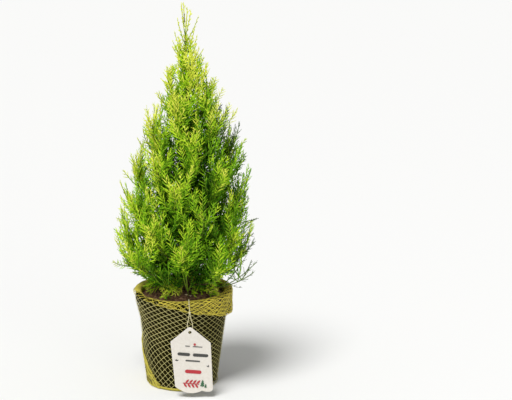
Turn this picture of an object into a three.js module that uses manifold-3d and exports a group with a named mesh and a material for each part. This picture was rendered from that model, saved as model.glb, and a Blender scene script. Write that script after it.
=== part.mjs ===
// A lemon cypress, 0.4 m tall, in a black plastic pot that is wrapped in a yellow diamond net.
// Millimetres, +Z up. The origin is the centre of the pot's flat underside, and -Y is the front.
// The trunk runs up through the crown. Round it stand plumes, each a mass of its own: one stem
// that leaves the trunk, bends upwards and carries toothed sprays of needles.
import * as THREE from "three";
import { mergeVertices } from "three/addons/utils/BufferGeometryUtils.js";
import Module from "manifold-3d";

const wasm = await Module();
wasm.setup();

// Driving dimensions
const GAP = 0.3;
const TOTAL_HEIGHT = 400;
const ROUND_SEGMENTS = 36;

const POT = {
  height: 100,
  footRadius: 34.2,
  baseRadius: 35.6,
  baseChamfer: 2.2,
  taper: 0.127,
  lipRadius: 49.6,
  lipDrop: 9,
  wall: 1.8,
  floor: 2.4,
};
const SOIL = { edgeZ: 93.6, crestZ: 101, crestRadius: 30, bump: 1.1 };
const NET = {
  thickness: 0.7,
  bottomZ: 3.4,
  leavesWallZ: 70,
  hemInner: 36.4,
  hemOuter: 38,
  hemLow: 0.5,
  hemHigh: 3.1,
};
const CUFF = {
  topZ: 102.2,
  topTilt: 1,
  tallestAt: 20,
  shortDepth: 2.4,
  extraDepth: 26,
  depthPower: 1.15,
  outer: 52.7,
  outerThickness: 1.8,
  innerRadius: 43.9,
  innerThickness: 1.6,
  innerLowZ: 94.6,
};
const GATHER = { fromAngle: 150, toAngle: 228, highZ: 62, lowZ: 3.2, thickness: 1.1 };
const TAG = {
  width: 41,
  height: 72,
  shoulderDrop: 15,
  thickness: 0.6,
  holeRadius: 1.7,
  holeDrop: 5.4,
  peak: new THREE.Vector3(6.6, -54.6, 76.4),
  rollDegrees: 3.9,
};
const STRING = { radius: 0.55, knotZ: 92, knotRadius: 1.2, sides: 6 };

const TRUNK = {
  footX: 4,
  footY: -4,
  topZ: 368,
  footRadius: 2.7,
  tipRadius: 0.6,
  flare: 1.9,
  flareHeight: 2.6,
  sides: 9,
  rings: [0, 1, 2.2, 4, 7, 12, 25, 45, 75, 110, 145, 180, 215, 245],
};
const CROWN = { wideZ: 135, radius: 71, power: 1.22, lowTip: 118, highTip: 392, over: 5 };
const PLUMES = {
  count: 38,
  inset: 0.93,
  topReach: 4,
  tipEvenness: 12,
  firstStart: 106,
  lastStart: 338,
  evenShare: 0.12,
  stemRadius: 0.9,
  tipRadius: 0.4,
  stemSteps: 5,
  stemEnd: 0.88,
  firstSpray: 0.12,
  sprayLength: 36,
  lowSprayLength: 24,
  leaderSprayLength: 20,
  sprays: 8,
};
const BOUGHS = { count: 6, share: 0.26, radius: 1.25, tipRadius: 0.95 };
const SPRAY = { thickness: 1.2, thickestAt: 0.25, halfWidth: 0.27, clearance: 0.9 };
const SPRAY_SIZES = [1, 0.86, 0.74, 0.63, 0.54, 0.46, 0.39];
const GOLDEN_ANGLE = THREE.MathUtils.degToRad(137.508);

// Plumes that the crown's rule doesn't give. Angles are in degrees from +X towards +Y, and each
// plume runs from the trunk at startZ past its bend to its tip.
const LOW_PLUMES = [
  { name: "stray_plume", angle: 338, startZ: 106, bend: [46, 101], tip: [77, 128], sprays: 6 },
  { name: "soil_plume_1", angle: 240, startZ: 105.4, bend: [24, 116], tip: [42, 104.5], sprays: 6 },
  { name: "soil_plume_2", angle: 320, startZ: 105.2, bend: [23, 115], tip: [41, 104.5], sprays: 6 },
  { name: "soil_plume_3", angle: 275, startZ: 106, bend: [20, 113], tip: [38, 105], sprays: 5 },
  { name: "soil_plume_4", angle: 108, startZ: 105.4, bend: [24, 115], tip: [41, 105], sprays: 6 },
  { name: "soil_plume_5", angle: 192, startZ: 106, bend: [24, 115], tip: [41, 106], sprays: 6 },
];

const MATERIALS = {
  pot: new THREE.MeshStandardMaterial({ color: 0x16160f, roughness: 0.5, metalness: 0 }),
  soil: new THREE.MeshStandardMaterial({ color: 0x3a2a1c, roughness: 1, metalness: 0 }),
  net: new THREE.MeshStandardMaterial({ color: 0xc9b43a, roughness: 0.75, metalness: 0 }),
  card: new THREE.MeshStandardMaterial({ color: 0xe4dccd, roughness: 0.8, metalness: 0 }),
  string: new THREE.MeshStandardMaterial({ color: 0xd9cf9a, roughness: 0.9, metalness: 0 }),
  bark: new THREE.MeshStandardMaterial({ color: 0x6b5636, roughness: 0.95, metalness: 0 }),
  foliage: new THREE.MeshStandardMaterial({ color: 0x83a41f, roughness: 0.7, metalness: 0 }),
};

// Seeded random numbers from 0 to 1, the same on every machine.
function randomFrom(seed) {
  const MODULUS = 2147483647;
  let state = (seed * 7919 + 104729) % MODULUS;
  return () => {
    state = (state * 16807) % MODULUS;
    return state / MODULUS;
  };
}

const lerp = THREE.MathUtils.lerp;
const radians = THREE.MathUtils.degToRad;

function polar(radius, angle, z) {
  return new THREE.Vector3(radius * Math.cos(angle), radius * Math.sin(angle), z);
}

// Solids and geometry

function solidOf(geometry) {
  const bare = geometry.clone();
  for (const name of ["normal", "uv"]) bare.deleteAttribute(name);
  const merged = mergeVertices(bare, 1e-4);
  const solid = new wasm.Manifold(
    new wasm.Mesh({
      numProp: 3,
      vertProperties: new Float32Array(merged.attributes.position.array),
      triVerts: new Uint32Array(merged.index.array),
    }),
  );
  return solid;
}

function geometryOf(solid) {
  const mesh = solid.getMesh();
  const geometry = new THREE.BufferGeometry();
  geometry.setAttribute("position", new THREE.BufferAttribute(mesh.vertProperties, 3));
  geometry.setIndex(new THREE.BufferAttribute(mesh.triVerts, 1));
  geometry.computeVertexNormals();
  return geometry;
}

function indexedGeometry(points, triangles) {
  const geometry = new THREE.BufferGeometry();
  const flat = points.flatMap((p) => [p.x, p.y, p.z]);
  geometry.setAttribute("position", new THREE.Float32BufferAttribute(flat, 3));
  geometry.setIndex(triangles.flat());
  geometry.computeVertexNormals();
  return geometry;
}

// A solid turned about Z: profile holds [radius, z] pairs, going round its outline with the
// material on the left.
function turned(profile, segments = ROUND_SEGMENTS) {
  const lathe = new THREE.LatheGeometry(
    profile.map(([r, z]) => new THREE.Vector2(r, z)),
    segments,
  );
  lathe.rotateX(Math.PI / 2);
  return lathe;
}

// A closed ring round Z whose section, a list of [radius, z], changes with the angle.
function sweptRing(sectionAt, segments = ROUND_SEGMENTS) {
  const points = [];
  const triangles = [];
  const size = sectionAt(0).length;
  for (let j = 0; j < segments; j++) {
    const angle = (j / segments) * 2 * Math.PI;
    for (const [r, z] of sectionAt(angle)) points.push(polar(r, angle, z));
  }
  for (let j = 0; j < segments; j++) {
    const here = j * size;
    const next = ((j + 1) % segments) * size;
    for (let k = 0; k < size; k++) {
      const up = (k + 1) % size;
      triangles.push([here + k, next + k, next + up], [here + k, next + up, here + up]);
    }
  }
  return indexedGeometry(points, triangles);
}

// A tapering limb with flat ends: centres is a list of points, and radiusAt gives the radius at
// a share of the way along.
function limb(centres, radiusAt, sides, firstNormal = null) {
  const points = [];
  const triangles = [];
  const last = centres.length - 1;
  let across = new THREE.Vector3(0, 1, 0);
  centres.forEach((centre, i) => {
    const along = centres[Math.min(i + 1, last)].clone().sub(centres[Math.max(i - 1, 0)]).normalize();
    if (i === 0 && firstNormal) along.copy(firstNormal);
    across.addScaledVector(along, -across.dot(along));
    if (across.length() < 1e-3) across.set(1, 0, 0).addScaledVector(along, -along.x);
    across.normalize();
    const third = along.clone().cross(across);
    const radius = radiusAt(i / last);
    for (let k = 0; k < sides; k++) {
      const turn = (k / sides) * 2 * Math.PI;
      const point = centre.clone();
      point.addScaledVector(across, radius * Math.cos(turn));
      point.addScaledVector(third, radius * Math.sin(turn));
      points.push(point);
    }
  });
  for (let i = 0; i < last; i++) {
    for (let k = 0; k < sides; k++) {
      const a = i * sides + k;
      const b = i * sides + ((k + 1) % sides);
      triangles.push([a, b, b + sides], [a, b + sides, a + sides]);
    }
  }
  for (let k = 1; k < sides - 1; k++) {
    triangles.push([0, k + 1, k], [last * sides, last * sides + k, last * sides + k + 1]);
  }
  return indexedGeometry(points, triangles);
}

// The pot, its soil and its net

function potRadius(z) {
  return POT.baseRadius + POT.taper * z;
}

function makePot() {
  const lipZ = POT.height - POT.lipDrop;
  const inner = (z) => potRadius(z) - POT.wall;
  return turned([
    [0, 0],
    [POT.footRadius, 0],
    [potRadius(POT.baseChamfer), POT.baseChamfer],
    [potRadius(lipZ), lipZ],
    [POT.lipRadius, lipZ],
    [POT.lipRadius, POT.height],
    [inner(POT.height), POT.height],
    [inner(POT.floor), POT.floor],
    [0, POT.floor],
  ]);
}

// The soil's height at a place: a low mound, flat where the trunk stands, lumpy elsewhere.
function soilHeight(x, y) {
  const radius = Math.hypot(x, y);
  const fall = THREE.MathUtils.smoothstep(radius, SOIL.crestRadius, potRadius(SOIL.edgeZ) - POT.wall);
  const mound = lerp(SOIL.crestZ, SOIL.edgeZ, fall);
  const lumps = Math.sin(0.31 * x + 1.3) * Math.cos(0.27 * y - 0.4) + 0.6 * Math.sin(0.53 * x - 0.47 * y);
  const fromTrunk = Math.hypot(x - TRUNK.footX, y - TRUNK.footY);
  const calm = THREE.MathUtils.smoothstep(fromTrunk, 7, 16) * (1 - fall);
  return mound + SOIL.bump * lumps * calm;
}

function makeSoil() {
  const wallRadius = (z) => potRadius(z) - POT.wall - GAP - 0.1;
  const bottom = POT.floor + GAP;
  const rings = [39, 31, 22, 12];
  const soil = turned([
    [0, bottom],
    [wallRadius(bottom), bottom],
    [wallRadius(SOIL.edgeZ), SOIL.edgeZ],
    ...rings.map((r) => [r, SOIL.crestZ]),
    [0, SOIL.crestZ],
  ]);
  const at = soil.getAttribute("position");
  for (let i = 0; i < at.count; i++) {
    if (at.getZ(i) > SOIL.crestZ - 0.01) at.setZ(i, soilHeight(at.getX(i), at.getY(i)));
  }
  return soil;
}

// The inner radius of the net round the pot: on the wall up to a height, then straight out to the lip.
function netInnerRadius(z) {
  const lipZ = POT.height - POT.lipDrop;
  const onWall = potRadius(Math.min(z, NET.leavesWallZ)) + GAP + 0.05;
  const climb = THREE.MathUtils.clamp((z - NET.leavesWallZ) / (lipZ - 0.5 - NET.leavesWallZ), 0, 1);
  return lerp(onWall, POT.lipRadius + GAP, climb);
}

function makeNetSleeve() {
  const heights = [NET.bottomZ, NET.leavesWallZ, POT.height - POT.lipDrop - 0.5, POT.height - 0.1];
  const outside = heights.map((z) => [netInnerRadius(z) + NET.thickness, z]);
  const inside = heights.map((z) => [netInnerRadius(z), z]).reverse();
  return turned([...outside, ...inside, outside[0]]);
}

// How far the cuff's outer fold hangs down at an angle: deep on the right, a hem on the left.
function cuffDepth(angle) {
  const nearness = (1 + Math.cos(angle - radians(CUFF.tallestAt))) / 2;
  return CUFF.shortDepth + CUFF.extraDepth * nearness ** CUFF.depthPower;
}

function cuffTop(angle) {
  return CUFF.topZ + CUFF.topTilt * Math.cos(angle - radians(CUFF.tallestAt));
}

function makeNetCuff() {
  const overPot = POT.height + GAP;
  const outerInside = CUFF.outer - CUFF.outerThickness;
  return sweptRing((angle) => {
    const top = cuffTop(angle);
    const low = top - cuffDepth(angle);
    return [
      [outerInside, low],
      [CUFF.outer - 0.3, low],
      [CUFF.outer, Math.max(top - 1.5, low + 1)],
      [CUFF.outer - 1.4, top],
      [CUFF.innerRadius + 1.2, top],
      [CUFF.innerRadius, top - 1.2],
      [CUFF.innerRadius, CUFF.innerLowZ],
      [CUFF.innerRadius + CUFF.innerThickness, CUFF.innerLowZ],
      [CUFF.innerRadius + CUFF.innerThickness, overPot],
      [outerInside, overPot],
    ];
  });
}

// The gathered end of the net: a hem round the foot, and a bunched wedge that climbs the left side.
function makeNetGather() {
  const hem = sweptRing(() => [
    [NET.hemInner, NET.hemLow],
    [NET.hemOuter, NET.hemLow],
    [NET.hemOuter, NET.hemHigh],
    [NET.hemInner, NET.hemHigh],
  ]);
  const columns = 14;
  const rows = 3;
  const layer = (lift) => {
    const points = [];
    for (let i = 0; i <= columns; i++) {
      const angle = radians(lerp(GATHER.fromAngle, GATHER.toAngle, i / columns));
      const top = lerp(GATHER.highZ, GATHER.lowZ + 3, i / columns);
      for (let j = 0; j <= rows; j++) {
        const z = lerp(NET.hemLow + 0.4, top, j / rows);
        const under = netInnerRadius(z) + NET.thickness + GAP;
        points.push(polar(under + lift, angle, z));
      }
    }
    return points;
  };
  const across = rows + 1;
  const outerStart = across * (columns + 1);
  const points = [...layer(0), ...layer(GATHER.thickness)];
  const triangles = [];
  const quad = (a, b, c, d) => triangles.push([a, b, c], [a, c, d]);
  for (let i = 0; i < columns; i++) {
    for (let j = 0; j < rows; j++) {
      const a = i * across + j;
      const b = a + across;
      quad(a, a + 1, b + 1, b);
      quad(outerStart + a, outerStart + b, outerStart + b + 1, outerStart + a + 1);
    }
    const low = i * across;
    const high = low + rows;
    quad(low, low + across, outerStart + low + across, outerStart + low);
    quad(high, outerStart + high, outerStart + high + across, high + across);
  }
  for (let j = 0; j < rows; j++) {
    const end = columns * across + j;
    quad(j, outerStart + j, outerStart + j + 1, j + 1);
    quad(end, end + 1, outerStart + end + 1, outerStart + end);
  }
  return geometryOf(solidOf(hem).add(solidOf(indexedGeometry(points, triangles))));
}

// The tag and its string

// The tag's own frame: X across, Y up, origin at the peak. It hangs in a vertical plane.
function tagPlacement() {
  const turn = new THREE.Matrix4().makeRotationY(radians(-TAG.rollDegrees));
  const upright = new THREE.Matrix4().makeRotationX(Math.PI / 2);
  const move = new THREE.Matrix4().setPosition(TAG.peak);
  return move.multiply(turn).multiply(upright);
}

function makeTag() {
  const half = TAG.width / 2;
  const foot = -TAG.height;
  const outline = new THREE.Shape();
  outline.moveTo(-2.5, -0.9);
  outline.quadraticCurveTo(0, 0.9, 2.5, -0.9);
  outline.lineTo(half, -TAG.shoulderDrop);
  outline.lineTo(half - 0.8, foot + 5);
  outline.quadraticCurveTo(half - 1.2, foot + 1, half - 5, foot + 1);
  outline.quadraticCurveTo(half - 9, foot + 1, half - 12, foot + 3);
  outline.quadraticCurveTo(0, foot - 1, -half + 12, foot + 2);
  outline.quadraticCurveTo(-half + 6, foot + 5, -half + 1.6, foot + 9);
  outline.lineTo(-half, -TAG.shoulderDrop);
  outline.closePath();
  const hole = new THREE.Path();
  hole.absarc(0, -TAG.holeDrop, TAG.holeRadius, 0, 2 * Math.PI, false);
  outline.holes.push(hole);
  const card = new THREE.ExtrudeGeometry(outline, {
    depth: TAG.thickness,
    bevelEnabled: false,
    curveSegments: 6,
  });
  card.translate(0, 0, -TAG.thickness / 2);
  return card.applyMatrix4(tagPlacement());
}

// The string comes out of the pot over the cuff, down to a knot, and loops through the tag's hole.
function makeTagString() {
  const knot = new THREE.Vector3(TAG.peak.x, TAG.peak.y - 0.2, STRING.knotZ);
  const hole = new THREE.Vector3(0, -TAG.holeDrop, 0).applyMatrix4(tagPlacement());
  const clear = STRING.radius + GAP;
  const overTop = cuffTop(-Math.PI / 2) + clear + 0.3;
  const loop = new THREE.CatmullRomCurve3([
    knot,
    new THREE.Vector3(knot.x + 1.8, hole.y - 1.6, lerp(hole.z, knot.z, 0.62)),
    new THREE.Vector3(hole.x + 1.3, hole.y - 1.6, lerp(hole.z, knot.z, 0.2)),
    new THREE.Vector3(hole.x, hole.y, hole.z),
    new THREE.Vector3(hole.x - 0.9, hole.y + 1.7, lerp(hole.z, knot.z, 0.2)),
    new THREE.Vector3(knot.x - 2, hole.y + 1.5, lerp(hole.z, knot.z, 0.62)),
    knot.clone().add(new THREE.Vector3(-0.2, 0.3, -0.2)),
  ]);
  const tail = new THREE.CatmullRomCurve3([
    knot,
    new THREE.Vector3(knot.x - 0.1, -CUFF.outer - clear - 0.35, STRING.knotZ + 3),
    new THREE.Vector3(knot.x - 0.5, -CUFF.outer - clear - 0.35, overTop - 3.5),
    new THREE.Vector3(knot.x - 0.6, -CUFF.outer - 0.1, overTop - 0.4),
    new THREE.Vector3(knot.x - 0.7, -CUFF.innerRadius - 4, overTop + 0.1),
    new THREE.Vector3(knot.x - 0.8, -CUFF.innerRadius + 0.4, overTop - 0.5),
    new THREE.Vector3(knot.x - 0.9, -CUFF.innerRadius + clear + 0.7, overTop - 4.5),
  ]);
  const tube = (curve, steps) => limb(curve.getPoints(steps), () => STRING.radius, STRING.sides);
  const ball = new THREE.SphereGeometry(STRING.knotRadius, 7, 5).translate(...knot);
  const whole = solidOf(tube(loop, 18)).add(solidOf(tube(tail, 13))).add(solidOf(ball));
  return geometryOf(whole);
}

// The trunk and the crown's rule

function trunkAt(z) {
  const share = (z - SOIL.crestZ) / (TRUNK.topZ - SOIL.crestZ);
  return new THREE.Vector3(
    TRUNK.footX - 2.5 * share + 1.5 * Math.sin(3 * share),
    TRUNK.footY + 4 * share + 1.2 * Math.sin(2.5 * share),
    z,
  );
}

function trunkRadius(z) {
  const share = THREE.MathUtils.clamp((z - SOIL.crestZ) / (TRUNK.topZ - SOIL.crestZ), 0, 1);
  const flare = TRUNK.flare * Math.exp(-(z - SOIL.crestZ) / TRUNK.flareHeight);
  return lerp(TRUNK.footRadius, TRUNK.tipRadius, share ** 0.9) + flare;
}

function makeTrunk() {
  const foot = SOIL.crestZ + GAP;
  const centres = [...TRUNK.rings, TRUNK.topZ - foot].map((rise) => trunkAt(foot + rise));
  const radiusAt = (share) => trunkRadius(centres[Math.round(share * (centres.length - 1))].z);
  return limb(centres, radiusAt, TRUNK.sides, new THREE.Vector3(0, 0, 1));
}

// The crown's outline: its radius at a height.
function crownRadius(z) {
  const up = Math.max(0, (z - CROWN.wideZ) / (TOTAL_HEIGHT - CROWN.wideZ));
  return CROWN.radius * Math.max(0, 1 - up * up) ** CROWN.power;
}

// Heights of the plumes' tips, closer together where the crown is wide, from the bottom up.
function tipHeights(count) {
  const heights = [];
  let total = 0;
  for (let z = CROWN.lowTip; z < CROWN.highTip; z++) total += crownRadius(z) + PLUMES.tipEvenness;
  let sum = 0;
  for (let z = CROWN.lowTip; z < CROWN.highTip && heights.length < count; z++) {
    sum += crownRadius(z) + PLUMES.tipEvenness;
    while (heights.length < count && sum >= (total * (heights.length + 0.5)) / count) heights.push(z);
  }
  return heights;
}

// A stem's course: from the trunk's surface, past its bend, to its tip. Radii are from the pot's axis.
function plumeStem(angle, startZ, bend, tip, twist = 0) {
  const foot = trunkAt(startZ);
  const outwards = polar(1, angle, 0);
  const axis = new THREE.Vector3(0, 0, 1);
  const start = foot.addScaledVector(outwards, trunkRadius(startZ) + GAP + PLUMES.stemRadius * 0.6);
  const bendAt = polar(bend[0], angle, bend[1]);
  const tipAt = polar(tip[0], angle, tip[1]).applyAxisAngle(axis, twist);
  const drift = trunkAt(tip[1]).setZ(0).multiplyScalar(0.5);
  return new THREE.QuadraticBezierCurve3(start, bendAt.add(drift), tipAt.add(drift));
}

function allPlumes() {
  const plumes = tipHeights(PLUMES.count).map((tipZ, i) => {
    const random = randomFrom(i + 1);
    const height = (tipZ - CROWN.lowTip) / (CROWN.highTip - CROWN.lowTip);
    const climb = PLUMES.evenShare * height + (1 - PLUMES.evenShare) * height * height;
    const startZ = lerp(PLUMES.firstStart, PLUMES.lastStart, climb);
    const inset = PLUMES.inset * lerp(0.95, 1.05, random());
    const reach = crownRadius(tipZ) * inset + PLUMES.topReach * height;
    const bendOut = reach * lerp(0.82, 0.72, height);
    const bendZ = lerp(startZ, tipZ, lerp(0.42, 0.3, height));
    const angle = i * GOLDEN_ANGLE + 0.5;
    const twist = lerp(-0.12, 0.12, random());
    return {
      name: `plume_${String(i + 1).padStart(2, "0")}`,
      bough: i < BOUGHS.count ? `bough_${i + 1}` : null,
      stem: plumeStem(angle, startZ, [bendOut, bendZ], [reach, tipZ], twist),
      sprays: PLUMES.sprays,
      length: PLUMES.sprayLength * lerp(1, 0.5, height ** 1.5),
      seed: i + 1,
    };
  });
  LOW_PLUMES.forEach((low, i) => {
    plumes.push({
      name: low.name,
      bough: null,
      stem: plumeStem(radians(low.angle), low.startZ, low.bend, low.tip),
      sprays: low.sprays,
      length: PLUMES.lowSprayLength,
      seed: 101 + i,
    });
  });
  const top = trunkAt(TRUNK.topZ + GAP);
  plumes.push({
    name: "leader_plume",
    bough: null,
    stem: new THREE.QuadraticBezierCurve3(
      top,
      top.clone().add(new THREE.Vector3(-0.8, 0.2, 16)),
      new THREE.Vector3(top.x - 1.6, top.y + 0.6, TOTAL_HEIGHT),
    ),
    sprays: PLUMES.sprays,
    length: PLUMES.leaderSprayLength,
    seed: 201,
  });
  return plumes;
}

// Each plume's space is what lies nearer to its own stem than to any other.
const STEM_SAMPLES = 28;
const plumes = allPlumes();
plumes.forEach((plume) => {
  plume.samples = plume.stem.getPoints(STEM_SAMPLES);
});

function distanceToStem(point, samples) {
  let least = Infinity;
  for (let i = 0; i < samples.length - 1; i++) {
    const along = samples[i + 1].clone().sub(samples[i]);
    const from = point.clone().sub(samples[i]);
    const share = THREE.MathUtils.clamp(from.dot(along) / along.lengthSq(), 0, 1);
    least = Math.min(least, from.addScaledVector(along, -share).length());
  }
  return least;
}

function groundHeight(x, y) {
  const radius = Math.hypot(x, y);
  if (radius < CUFF.innerRadius - 1) return soilHeight(x, y);
  return radius < CUFF.outer + 1 ? cuffTop(Math.atan2(y, x)) : 0;
}

function isFree(point, plume) {
  const trunkClear = point.distanceTo(trunkAt(Math.min(point.z, TRUNK.topZ))) - trunkRadius(point.z);
  if (trunkClear < SPRAY.clearance) return false;
  if (point.z < groundHeight(point.x, point.y) + SPRAY.clearance || point.z > TOTAL_HEIGHT) return false;
  const limit = Math.max(crownRadius(point.z) + CROWN.over, plume.reachLimit);
  if (Math.hypot(point.x, point.y) > limit) return false;
  const own = distanceToStem(point, plume.samples);
  return plumes.every((other) => {
    if (other === plume) return true;
    return distanceToStem(point, other.samples) > own + 2 * SPRAY.clearance;
  });
}

// A spray of needles: a blade along +X with teeth that point forwards. It is thickest along its
// midrib and narrows to its root, which lies inside the stem.
function sprayOutline(length) {
  const wide = length * SPRAY.halfWidth;
  return [
    [0, 0],
    [0.5 * length, wide],
    [0.5 * length, 0.42 * wide],
    [0.8 * length, 0.66 * wide],
    [length, 0],
    [0.72 * length, -0.7 * wide],
    [0.46 * length, -0.4 * wide],
    [0.43 * length, -wide],
  ];
}

function sprayMatrix(root, direction, roll) {
  const side = new THREE.Vector3(0, 0, 1).cross(direction);
  if (side.length() < 0.1) side.set(1, 0, 0);
  side.normalize().applyAxisAngle(direction, roll);
  const face = direction.clone().cross(side).normalize();
  return new THREE.Matrix4().makeBasis(direction, face.clone().cross(direction), face).setPosition(root);
}

function sprayPoints(length, matrix) {
  return sprayOutline(length)
    .filter(([x]) => x > 0)
    .map(([x, y]) => new THREE.Vector3(x, y, 0).applyMatrix4(matrix));
}

function makeSpray(length, matrix) {
  const outline = sprayOutline(length).map(([x, y]) => new THREE.Vector3(x, y, 0));
  const count = outline.length;
  const [top, low] = [count, count + 1];
  const midribs = [1, -1].map((side) => {
    return new THREE.Vector3(SPRAY.thickestAt * length, 0, (side * SPRAY.thickness) / 2);
  });
  const triangles = outline.flatMap((_, i) => {
    const next = (i + 1) % count;
    return [[top, next, i], [low, i, next]];
  });
  return indexedGeometry([...outline, ...midribs], triangles).applyMatrix4(matrix);
}

// The place and the direction at a share of the way along a row of points.
function placeOn(centres, share) {
  const at = THREE.MathUtils.clamp(share, 0, 0.9999) * (centres.length - 1);
  const i = Math.floor(at);
  const along = centres[i + 1].clone().sub(centres[i]);
  return { root: centres[i].clone().addScaledVector(along, at - i), along: along.normalize() };
}

// A plume: its stem, sprays round it by the golden angle, and one spray that goes on from its tip.
function makePlume(plume) {
  const random = randomFrom(plume.seed + 500);
  const first = plume.bough ? BOUGHS.share + GAP / plume.stem.getLength() : 0;
  const centres = [];
  for (let i = 0; i <= PLUMES.stemSteps; i++) {
    centres.push(plume.stem.getPoint(lerp(first, PLUMES.stemEnd, i / PLUMES.stemSteps)));
  }
  const wide = plume.bough ? BOUGHS.tipRadius : PLUMES.stemRadius;
  let solid = solidOf(limb(centres, (share) => lerp(wide, PLUMES.tipRadius, share), 3));
  const turnFrom = random() * 2 * Math.PI;
  for (let k = 0; k < plume.sprays; k++) {
    const share = lerp(PLUMES.firstSpray, 0.96, (k + 0.3) / plume.sprays);
    const { root, along } = placeOn(centres, share);
    const side = new THREE.Vector3(0, 0, 1).cross(along).normalize();
    side.applyAxisAngle(along, turnFrom + k * GOLDEN_ANGLE);
    const spread = radians(lerp(46, 30, share));
    const direction = along.multiplyScalar(Math.cos(spread)).addScaledVector(side, Math.sin(spread));
    const roll = lerp(-0.7, 0.7, random());
    const full = plume.length * lerp(1.05, 0.62, share ** 2) * lerp(0.85, 1.1, random());
    for (const size of SPRAY_SIZES) {
      const matrix = sprayMatrix(root, direction, roll);
      if (!sprayPoints(full * size, matrix).every((point) => isFree(point, plume))) continue;
      solid = solid.add(solidOf(makeSpray(full * size, matrix)));
      break;
    }
  }
  const end = placeOn(centres, 0.97).root;
  const toTip = plume.stem.getPoint(1).sub(end);
  const last = sprayMatrix(end, toTip.clone().normalize(), 0.3);
  return geometryOf(solid.add(solidOf(makeSpray(toTip.length(), last))));
}

function makeBough(plume) {
  const centres = [0, 1, 2, 3].map((step) => plume.stem.getPoint((step / 3) * BOUGHS.share));
  return limb(centres, (share) => lerp(BOUGHS.radius, BOUGHS.tipRadius, share), 6);
}

plumes.forEach((plume) => {
  const tip = plume.samples[STEM_SAMPLES];
  plume.reachLimit = Math.hypot(tip.x, tip.y) + 0.5;
});

// The whole part

const part = new THREE.Group();

function add(name, geometry, material) {
  const mesh = new THREE.Mesh(geometry, material);
  mesh.name = name;
  part.add(mesh);
}

add("pot", makePot(), MATERIALS.pot);
add("soil", makeSoil(), MATERIALS.soil);
add("net_sleeve", makeNetSleeve(), MATERIALS.net);
add("net_cuff", makeNetCuff(), MATERIALS.net);
add("net_gather", makeNetGather(), MATERIALS.net);
add("tag", makeTag(), MATERIALS.card);
add("tag_string", makeTagString(), MATERIALS.string);
add("trunk", makeTrunk(), MATERIALS.bark);
for (const plume of plumes) {
  if (plume.bough) add(plume.bough, makeBough(plume), MATERIALS.bark);
  add(plume.name, makePlume(plume), MATERIALS.foliage);
}

export default part;
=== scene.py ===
"""A potted lemon cypress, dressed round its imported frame. Built in millimetres, placed in metres.

The crown follows the part's own rule: plumes at the golden angle round one trunk. Here each plume is
carried on to branchlets, shoots and needles inside the same reach.
"""

import math

import bpy
import numpy as np
from mathutils import Matrix, Vector


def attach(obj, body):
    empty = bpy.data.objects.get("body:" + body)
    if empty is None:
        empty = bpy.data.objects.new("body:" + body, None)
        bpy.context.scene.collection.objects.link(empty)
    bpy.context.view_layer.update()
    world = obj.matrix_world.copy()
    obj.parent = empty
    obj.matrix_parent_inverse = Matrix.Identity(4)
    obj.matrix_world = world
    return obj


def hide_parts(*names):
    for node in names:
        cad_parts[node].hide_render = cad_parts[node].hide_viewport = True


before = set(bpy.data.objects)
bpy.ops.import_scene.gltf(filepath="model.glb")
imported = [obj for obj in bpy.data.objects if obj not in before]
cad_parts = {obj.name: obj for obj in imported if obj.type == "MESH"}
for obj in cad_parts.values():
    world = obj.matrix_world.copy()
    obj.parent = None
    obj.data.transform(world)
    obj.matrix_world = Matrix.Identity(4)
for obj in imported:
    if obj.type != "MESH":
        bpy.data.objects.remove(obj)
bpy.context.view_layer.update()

MM = 0.001
TAU = 2 * math.pi
GOLDEN_ANGLE = math.radians(137.508)

# Sizes in millimetres. They repeat the part's own.
GAP = 0.3
TOTAL_HEIGHT = 400
POT = dict(height=100, foot_radius=34.2, base_radius=35.6, chamfer=2.2, taper=0.127, lip_radius=49.6,
           lip_drop=9, wall=1.8, floor=2.4, recess=1.2, recess_edge=5, foot_width=4.2, edge_round=0.7)
SOIL = dict(edge_z=93.6, crest_z=101, crest_radius=30, bump=1.1, under_z=88.0, calm_from=7, calm_to=16)
NET_LEAVES_WALL_Z = 70
CUFF = dict(top_z=102.2, top_tilt=1, tallest_at=20, short_depth=2.4, extra_depth=26, depth_power=1.15,
            outer=52.7, inner=43.9)
GATHER = dict(from_angle=150, to_angle=228, high_z=62, low_z=3.2, end_rise=3, back_slope=3.5)
TAG = dict(width=41, height=72, shoulder_drop=15, thickness=0.6, hole_radius=1.7, hole_drop=5.4,
           peak=(6.6, -54.6, 76.4), roll=3.9)
STRING = dict(knot_z=92, radius=0.42, pitch=2.0, ply_offset=0.5, ply_radius=0.62, coil=0.75, coil_radius=0.4)
TRUNK = dict(foot_x=4, foot_y=-4, top_z=368, foot_radius=2.7, tip_radius=0.6, flare=1.9, flare_height=2.6)
CROWN = dict(wide_z=135, radius=71, power=1.22, low_tip=118, high_tip=392)
PLUMES = dict(count=38, inset=0.93, top_reach=4, tip_evenness=12, first_start=106, last_start=338,
              even_share=0.12, stem_radius=0.9, boughs=6)
LOW_PLUMES = [
    ("stray_plume", 338, 106, (46, 101), (77, 128)),
    ("soil_plume_1", 240, 105.4, (24, 116), (42, 104.5)),
    ("soil_plume_2", 320, 105.2, (23, 115), (41, 104.5)),
    ("soil_plume_3", 275, 106, (20, 113), (38, 105)),
    ("soil_plume_4", 108, 105.4, (24, 115), (41, 105)),
    ("soil_plume_5", 192, 106, (24, 115), (41, 106)),
]

# The one before the trunk's foot has few branchlets, so that the foot shows.
SPARSE_PLUME = dict(name="soil_plume_3", count=5)

# Each group of small things has its own row of random numbers.
SEEDS = dict(trunk=3, wood=4, soil=5, shoots=9, crumbs=11, chips=12, pale_chips=13, gather=21, between=55,
             shade=77, spires=91, low_plumes=101, leader=201, trunk_sprays=301)
ROUND_SIDES = 128

# The camera stands in front of the pot and a little above it, turned to the right of the plant.
CAMERA = dict(distance=1600, height=600, yaw=2.70, pitch=14.13, roll=0.72, lens=111.94)


def lerp(a, b, share):
    return a + (b - a) * share


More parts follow.
